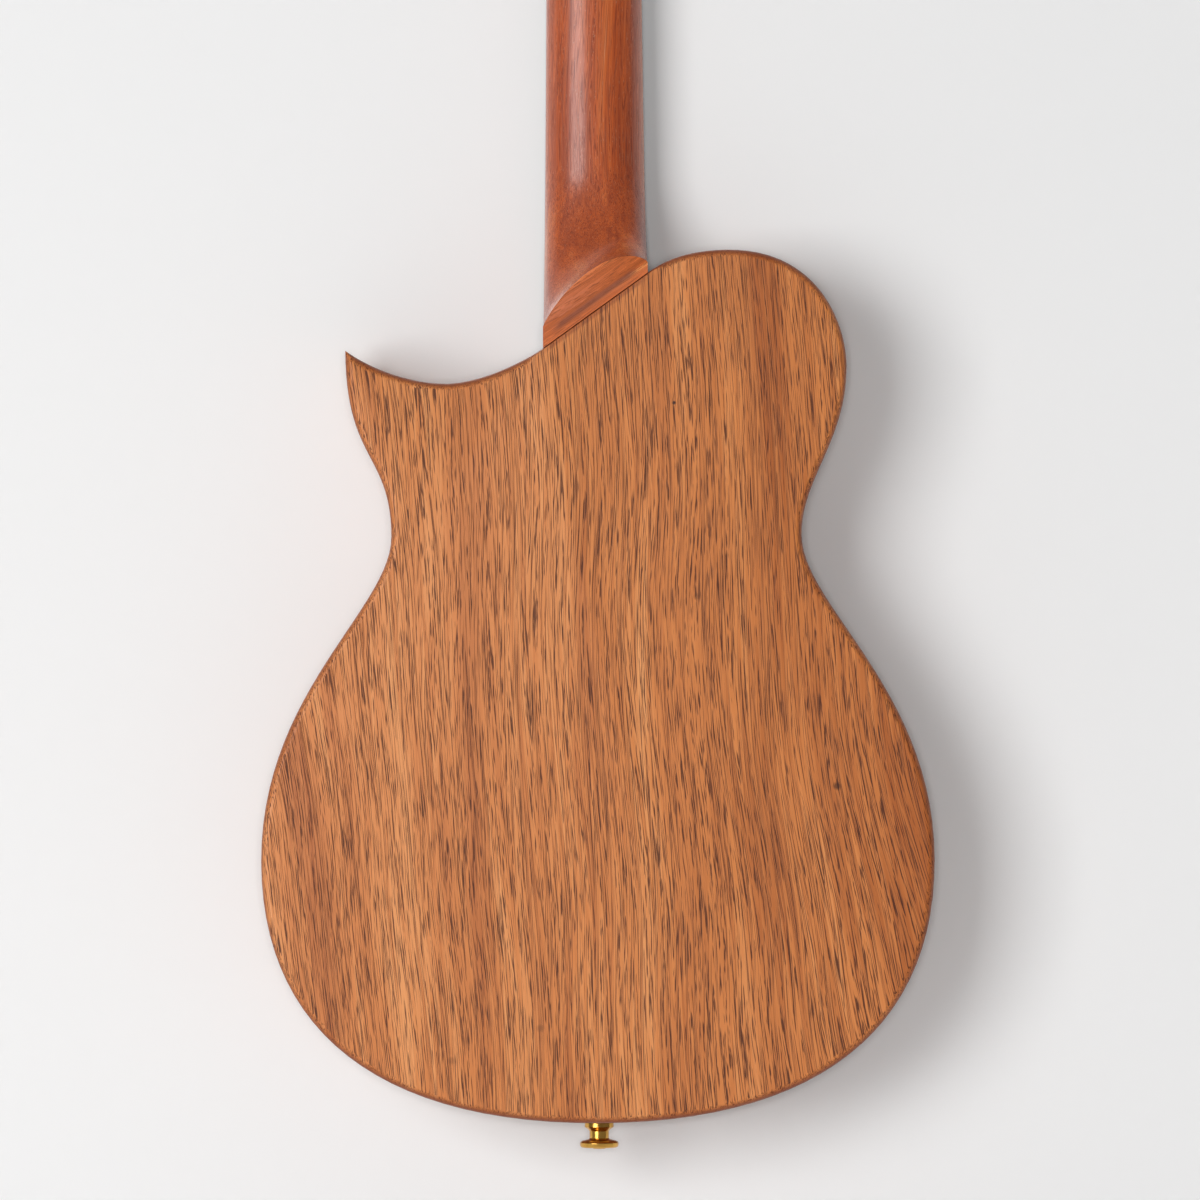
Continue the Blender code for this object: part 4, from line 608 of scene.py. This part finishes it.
def head_plate(name, low, high, radius, sink=0.0):
    """A plate of the headstock's outline from one height to another, its back edge rounded."""
    outline = bezier_outline(headstock_knots(), 18)
    rings = []
    for inward, n in [(sink, high)] + [(max(i, sink), z) for i, z in rounding(radius, low + radius, -1, 4)]:
        points = inset(outline, inward) if inward else outline
        rings.append(np.concatenate([points, np.full((len(points), 1), n)], 1))
    return solid_from_rings(name, np.array(rings), HEAD_FRAME)


def make_headstock():
    """The headstock's wood and veneer, each drilled for the four posts."""
    for name, low, high, material, slot, nodes in (
        ("headstock_wood", -HEADSTOCK_THICKNESS, 0.0, NECK_WOOD, "neck_mahogany", ()),
        ("headstock_face", GAP, GAP + VENEER_THICKNESS, ROSEWOOD, "rosewood", ("headstock_veneer",)),
    ):
        plate = head_plate(name, low, high, 0.0010 if low < 0 else 0.0003)
        drills = []
        for x, h in POSTS.values():
            rings = turned_rings([(0.0043, -0.02), (0.0043, 0.01)], 32)
            drills.append(solid_from_rings("drill", rings, HEAD_FRAME @ Matrix.Translation((x, h, 0))))
        finish_piece(carved(plate, *drills), material, slot, *nodes)


def make_heel_cap():
    """The flat cap on the heel, its long edge on the body and its arch round the heel."""
    width = half_width(JOINT_Z + HEEL_CAP_SIDE) + HEEL_FLARE
    seat = JOINT_Z + SEAM / cos(JOINT_ANGLE)
    share = np.cos(np.linspace(0, pi, 49))
    curve = np.stack([share * width, JOINT_Z + cap_height(share) + JOINT_SLOPE * share * width], 1)
    ends = np.array([[-width, seat - JOINT_SLOPE * width], [width, seat + JOINT_SLOPE * width]])
    outline = np.concatenate([curve, ends])
    steps = [(0, BODY_DEPTH - HEEL_CAP_THICKNESS)] + rounding(0.0002, BODY_DEPTH - 0.0002, 1, 2)
    cap = solid_from_rings("heel_cap_plate", plate_rings(outline, steps))
    finish_piece(cap, CAP_WOOD, "satin_mahogany", "heel_cap")


def make_strap_button():
    """The turned button on the tail, bored for its screw."""
    place = Matrix.Translation(TAIL)
    profile = [(0.0018, -0.0003), (0.00545, -0.0003), (0.0058, -0.0006), (0.00585, -0.0022)]
    profile += [(0.0052, -0.0027), (0.0044, -0.0032), (0.0039, -0.0039), (0.0039, -0.0067), (0.0043, -0.0071)]
    profile += [(0.0055, -0.0074), (0.0068, -0.0077), (0.0075, -0.0081), (0.00775, -0.0086), (0.00775, -0.0095)]
    profile += [(0.0075, -0.0101), (0.0069, -0.0105), (0.0038, -0.0105), (0.0018, -0.0085)]
    profile += [(0.0018, -0.0003)]
    button = solid_from_loop("strap_button_turned", turned_rings(profile, 64), place)
    finish_piece(button, GOLD, "gold_plate", "strap_button", angle=25)


def string_route(index, name, diameter):
    """Points and swells of a string: knot, saddle, nut, two turns round the post and its trimmed end.

    The winding is a helix about the post, climbing half a millimetre more than a diameter a turn.
    """
    across = index / 3 - 0.5
    radius = diameter / 2
    saddle = Vector((0.042 * across, FRETBOARD_FRONT_Y - 0.00583 - radius, -SCALE_LENGTH - 0.0006))
    nut = Vector((0.0282 * across, FRETBOARD_FRONT_Y - 0.0013 - radius, 0.0006))
    knot = Vector((0.042 * across, -0.0046, -SCALE_LENGTH - 0.0170 + 0.0026))
    x, h = POSTS[name]
    sense = -1 if x > 0 else 1
    wind = POST_RADIUS + GAP + radius
    local = HEAD_FRAME.inverted() @ nut
    away = np.array([local.x - x, local.y - h])
    start = np.arctan2(away[1], away[0]) + sense * np.arccos(wind / np.linalg.norm(away))
    turn = np.linspace(0, 2, 97)
    angle = start + sense * 2 * pi * turn
    coil = np.stack([x + wind * np.cos(angle), h + wind * np.sin(angle), 0.0052 + (diameter + 0.0005) * turn,
                     np.ones_like(turn)], 1)
    coil = (coil @ np.array(HEAD_FRAME).T)[:, :3]
    end = coil[-1] + (coil[-1] - coil[-2]) / np.linalg.norm(coil[-1] - coil[-2]) * 2 * diameter
    rise = (saddle - knot).normalized()
    bead = [(knot + rise * 0.0019 * t, 0.0019 / radius * np.sqrt(1 - t * t)) for t in np.linspace(-0.9, 0.75, 8)]
    toward = (Vector(coil[0]) - nut).normalized()
    route = bead + [(knot + rise * 0.0019, 1.0), (saddle, 1.0), (nut, 1.0), (Vector(coil[0]) - toward * 0.002, 1.0)]
    return route + [(Vector(point), 1.0) for point in coil] + [(Vector(end), 1.0)]


def make_strings():
    """Four strings, each a round tube along its own route."""
    for index, (name, diameter) in enumerate(STRINGS):
        route = string_route(index, name, diameter)
        curve = bpy.data.curves.new("string", "CURVE")
        curve.dimensions = "3D"
        curve.bevel_depth = diameter / 2
        curve.bevel_resolution = 4
        curve.use_fill_caps = True
        spline = curve.splines.new("POLY")
        spline.points.add(len(route) - 1)
        for place, (point, swell) in zip(spline.points, route):
            place.co = (*point, 1.0)
            place.radius = swell
        guide = bpy.data.objects.new("guide", curve)
        bpy.context.scene.collection.objects.link(guide)
        bpy.context.view_layer.update()
        mesh = bpy.data.meshes.new_from_object(guide.evaluated_get(bpy.context.evaluated_depsgraph_get()))
        bpy.data.objects.remove(guide)
        bm = bmesh.new()
        bm.from_mesh(mesh)
        bmesh.ops.remove_doubles(bm, verts=bm.verts, dist=1e-6)
        bmesh.ops.recalc_face_normals(bm, faces=bm.faces)
        bm.to_mesh(mesh)
        bm.free()
        string = bpy.data.objects.new("string_tube_" + name, mesh)
        bpy.context.scene.collection.objects.link(string)
        wound = index == 0
        finish_piece(string, WOUND if wound else NYLON, "wound_string" if wound else "clear_nylon",
                     "string_" + name, angle=50)


def make_markers():
    """Pearl dots on the fretboard at the usual frets, two of them at the twelfth."""
    rings = turned_rings([(0.0027, -0.0002), (0.0027, 0.00005), (0.0024, 0.0001)], 32)
    for number, places in ((5, (0,)), (7, (0,)), (10, (0,)), (12, (-0.009, 0.009)), (15, (0,))):
        low = -SCALE_LENGTH * (1 - 2 ** (-number / 12))
        high = -SCALE_LENGTH * (1 - 2 ** (-(number - 1) / 12))
        for x in places:
            side = "middle" if x == 0 else ("bass" if x < 0 else "treble")
            place = facing_front((x, FRETBOARD_FRONT_Y, (low + high) / 2))
            dot = solid_from_rings(f"marker_{number:02d}_{side}", rings, place)
            finish_piece(dot, PEARL, "pearl_plastic")


def make_plate_screws():
    """A domed screw at the round end of each tuner plate."""
    plate_back = -(HEADSTOCK_THICKNESS + GAP + 0.0012)
    profile = [(0.0019, 0.0), (0.0019, -0.0004), (0.0016, -0.0008), (0.0010, -0.0011), (0.0003, -0.0012)]
    for name, (x, h) in POSTS.items():
        place = HEAD_FRAME @ Matrix.Translation((x, h + 0.0097, plate_back))
        screw = solid_from_rings("plate_screw_" + name, turned_rings(profile, 24), place)
        finish_piece(screw, GOLD, "gold_plate")


def make_tuner_buttons():
    """Flattened oval buttons on the worm shafts, each bored for its shaft."""
    radius, length, flatness, start = 0.0075, 0.0155, 0.58, 0.0155
    bore = [(0.0001, 0.0083), (0.0018, 0.0083), (0.0018, 0)]
    oval = ((0.56, 0), (0.56, 0.14), (0.62, 0.22), (0.76, 0.29), (0.90, 0.38), (0.97, 0.48), (1, 0.60), (0.96, 0.71),
            (0.85, 0.82), (0.69, 0.91), (0.50, 0.97), (0.27, 0.992), (0.01, 1))
    rings = turned_rings(bore + [(r * radius, h * length) for r, h in oval], 48)
    rings[len(bore):, :, 0] *= flatness
    for name, (x, h) in POSTS.items():
        side = 1 if x > 0 else -1
        shaft = Matrix.Translation((x + side * start, h - 0.00825, -0.0185))
        place = HEAD_FRAME @ shaft @ Matrix.Rotation(side * pi / 2, 4, "Y")
        button = solid_from_rings("button_oval_" + name, rings, place)
        finish_piece(button, PEARL, "pearl_plastic", "tuner_button_" + name, body="knob_" + name)


def dress_solids():
    """Gives the solids that stay their finishes, and smooth shading on their curved faces."""
    finishes = {
        "fretboard": ROSEWOOD, "bridge": ROSEWOOD, "bridge_plate": SPRUCE, "nut": BONE, "saddle": BONE,
        "neck_rod": ZINC, "strap_button_screw": GOLD, "upper_brace": SPRUCE, "lower_brace": SPRUCE,
    }
    families = {"fret_": NICKEL, "fan_brace_": SPRUCE, "tuner_": GOLD}
    for name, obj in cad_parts.items():
        material = finishes.get(name)
        for start, family in families.items():
            if material is None and name.startswith(start):
                material = family
        if material is None or obj.hide_render:
            continue
        obj.data.materials.clear()
        obj.data.materials.append(material)
        stored = obj.data.attributes.get("custom_normal")
        if stored is not None:
            obj.data.attributes.remove(stored)
        obj.data.shade_smooth()
        weld = obj.modifiers.new("weld", "WELD")
        weld.merge_threshold = 0.00001
        split = obj.modifiers.new("split", "EDGE_SPLIT")
        split.split_angle = radians(38)


def paper(name, tone, open_share):
    """Matt pale paper that the given function of its node tree opens to what lies behind."""
    material, tree = new_material(name)
    matt = add(tree, "BsdfDiffuse", {"Color": linear(tone)})
    clear = add(tree, "BsdfTransparent")
    mixed = add(tree, "MixShader", {0: open_share(tree), 1: matt.outputs[0], 2: clear.outputs[0]})
    close_material(tree, mixed.outputs[0])
    return material


def fading(tree):
    """The floor fades into the background a metre and more from the instrument."""
    place = add(tree, "TexCoord")
    away = add(tree, "VectorMath", {0: place.outputs["Object"]}, operation="LENGTH")
    return spread(tree, away.outputs["Value"], 0.7, 2.4)


def one_sided(tree):
    """The wall is open from behind, and lets the front's lights through to what the camera sees first."""
    facing = add(tree, "NewGeometry")
    path = add(tree, "LightPath")
    first = add(tree, "Math", {0: path.outputs["Diffuse Depth"], 1: 0.5}, operation="LESS_THAN")
    lit = add(tree, "Math", {0: path.outputs["Is Shadow Ray"], 1: first.outputs[0]}, operation="MULTIPLY")
    return add(tree, "Math", {0: facing.outputs["Backfacing"], 1: lit.outputs[0]}, operation="MAXIMUM").outputs[0]


def make_stage():
    """A pale floor well below, and a pale wall behind the instrument for its soft shadow."""
    for name, size, place, turn, open_share in (
        ("floor", 8.0, (0, 0, -0.72), (0, 0, 0), fading),
        ("backdrop", 3.0, (0, -0.0145, 0.77), (-pi / 2, 0, 0), one_sided),
    ):
        bm = bmesh.new()
        bmesh.ops.create_grid(bm, x_segments=1, y_segments=1, size=size / 2)
        mesh = bpy.data.meshes.new(name)
        bm.to_mesh(mesh)
        bm.free()
        obj = bpy.data.objects.new(name, mesh)
        obj.location = place
        obj.rotation_euler = turn
        bpy.context.scene.collection.objects.link(obj)
        mesh.materials.append(paper("pale_paper_" + name, "#F2F2F2", open_share))


def make_light():
    """A big soft key from the photo's upper left, a weak fill, and the same for the front."""
    target = Vector((0, 0.02, -0.40))
    for name, place, power, size in (
        ("key_back", (2.0, 3.47, 0.0), 95.0, 2.1),
        ("fill_back", (0.0, 7.0, -0.35), 120.0, 0.7),
        ("key_front", (0.7, -2.8, 0.9), 46.0, 1.6),
        ("fill_front", (-0.4, -3.0, 0.1), 26.0, 1.0),
    ):
        lamp = bpy.data.lights.new(name, "AREA")
        lamp.energy = power
        lamp.size = size
        obj = bpy.data.objects.new(name, lamp)
        obj.location = place
        obj.rotation_euler = (target - Vector(place)).to_track_quat("-Z", "Y").to_euler()
        # The fills only lift the shade: they leave no second highlight on the varnish
        obj.visible_glossy = not name.startswith("fill")
        bpy.context.scene.collection.objects.link(obj)
    world = bpy.data.worlds.new("studio")
    bpy.context.scene.world = world
    world.use_nodes = True
    tree = world.node_tree
    tree.nodes.clear()
    ray = add(tree, "LightPath")
    seen = add(tree, "Math", {0: ray.outputs["Is Camera Ray"], 1: ray.outputs["Is Transmission Ray"]},
               operation="MAXIMUM")
    shown = add(tree, "Background", {"Color": linear("#EDEDED"), "Strength": 1.0})
    light = add(tree, "Background", {"Color": linear("#FFFFFF"), "Strength": 0.14})
    mixed = add(tree, "MixShader", {0: seen.outputs[0], 1: light.outputs[0], 2: shown.outputs[0]})
    add(tree, "OutputWorld", {"Surface": mixed.outputs[0]})


def make_camera():
    """The photo's view: square on to the back from 6 m, 480 mm across, rolled a quarter degree."""
    distance, across, roll = 6.0, 0.480, 0.00459
    data = bpy.data.cameras.new("camera")
    data.sensor_width = 36.0
    data.lens = 36.0 * distance / across
    data.clip_start, data.clip_end = 0.05, 20.0
    camera = bpy.data.objects.new("camera", data)
    facing = Matrix.Rotation(pi, 4, "Z") @ Matrix.Rotation(pi / 2, 4, "X") @ Matrix.Rotation(-roll, 4, "Z")
    camera.matrix_world = Matrix.Translation((-0.0013, BODY_DEPTH + distance, -0.4002)) @ facing
    bpy.context.scene.collection.objects.link(camera)
    bpy.context.scene.camera = camera


bpy.context.scene.view_settings.view_transform = "Standard"
make_camera()
make_body()
make_soundboard()
make_neck()
make_headstock()
make_heel_cap()
make_strap_button()
make_strings()
make_markers()
make_plate_screws()
make_tuner_buttons()
dress_solids()
make_stage()
make_light()
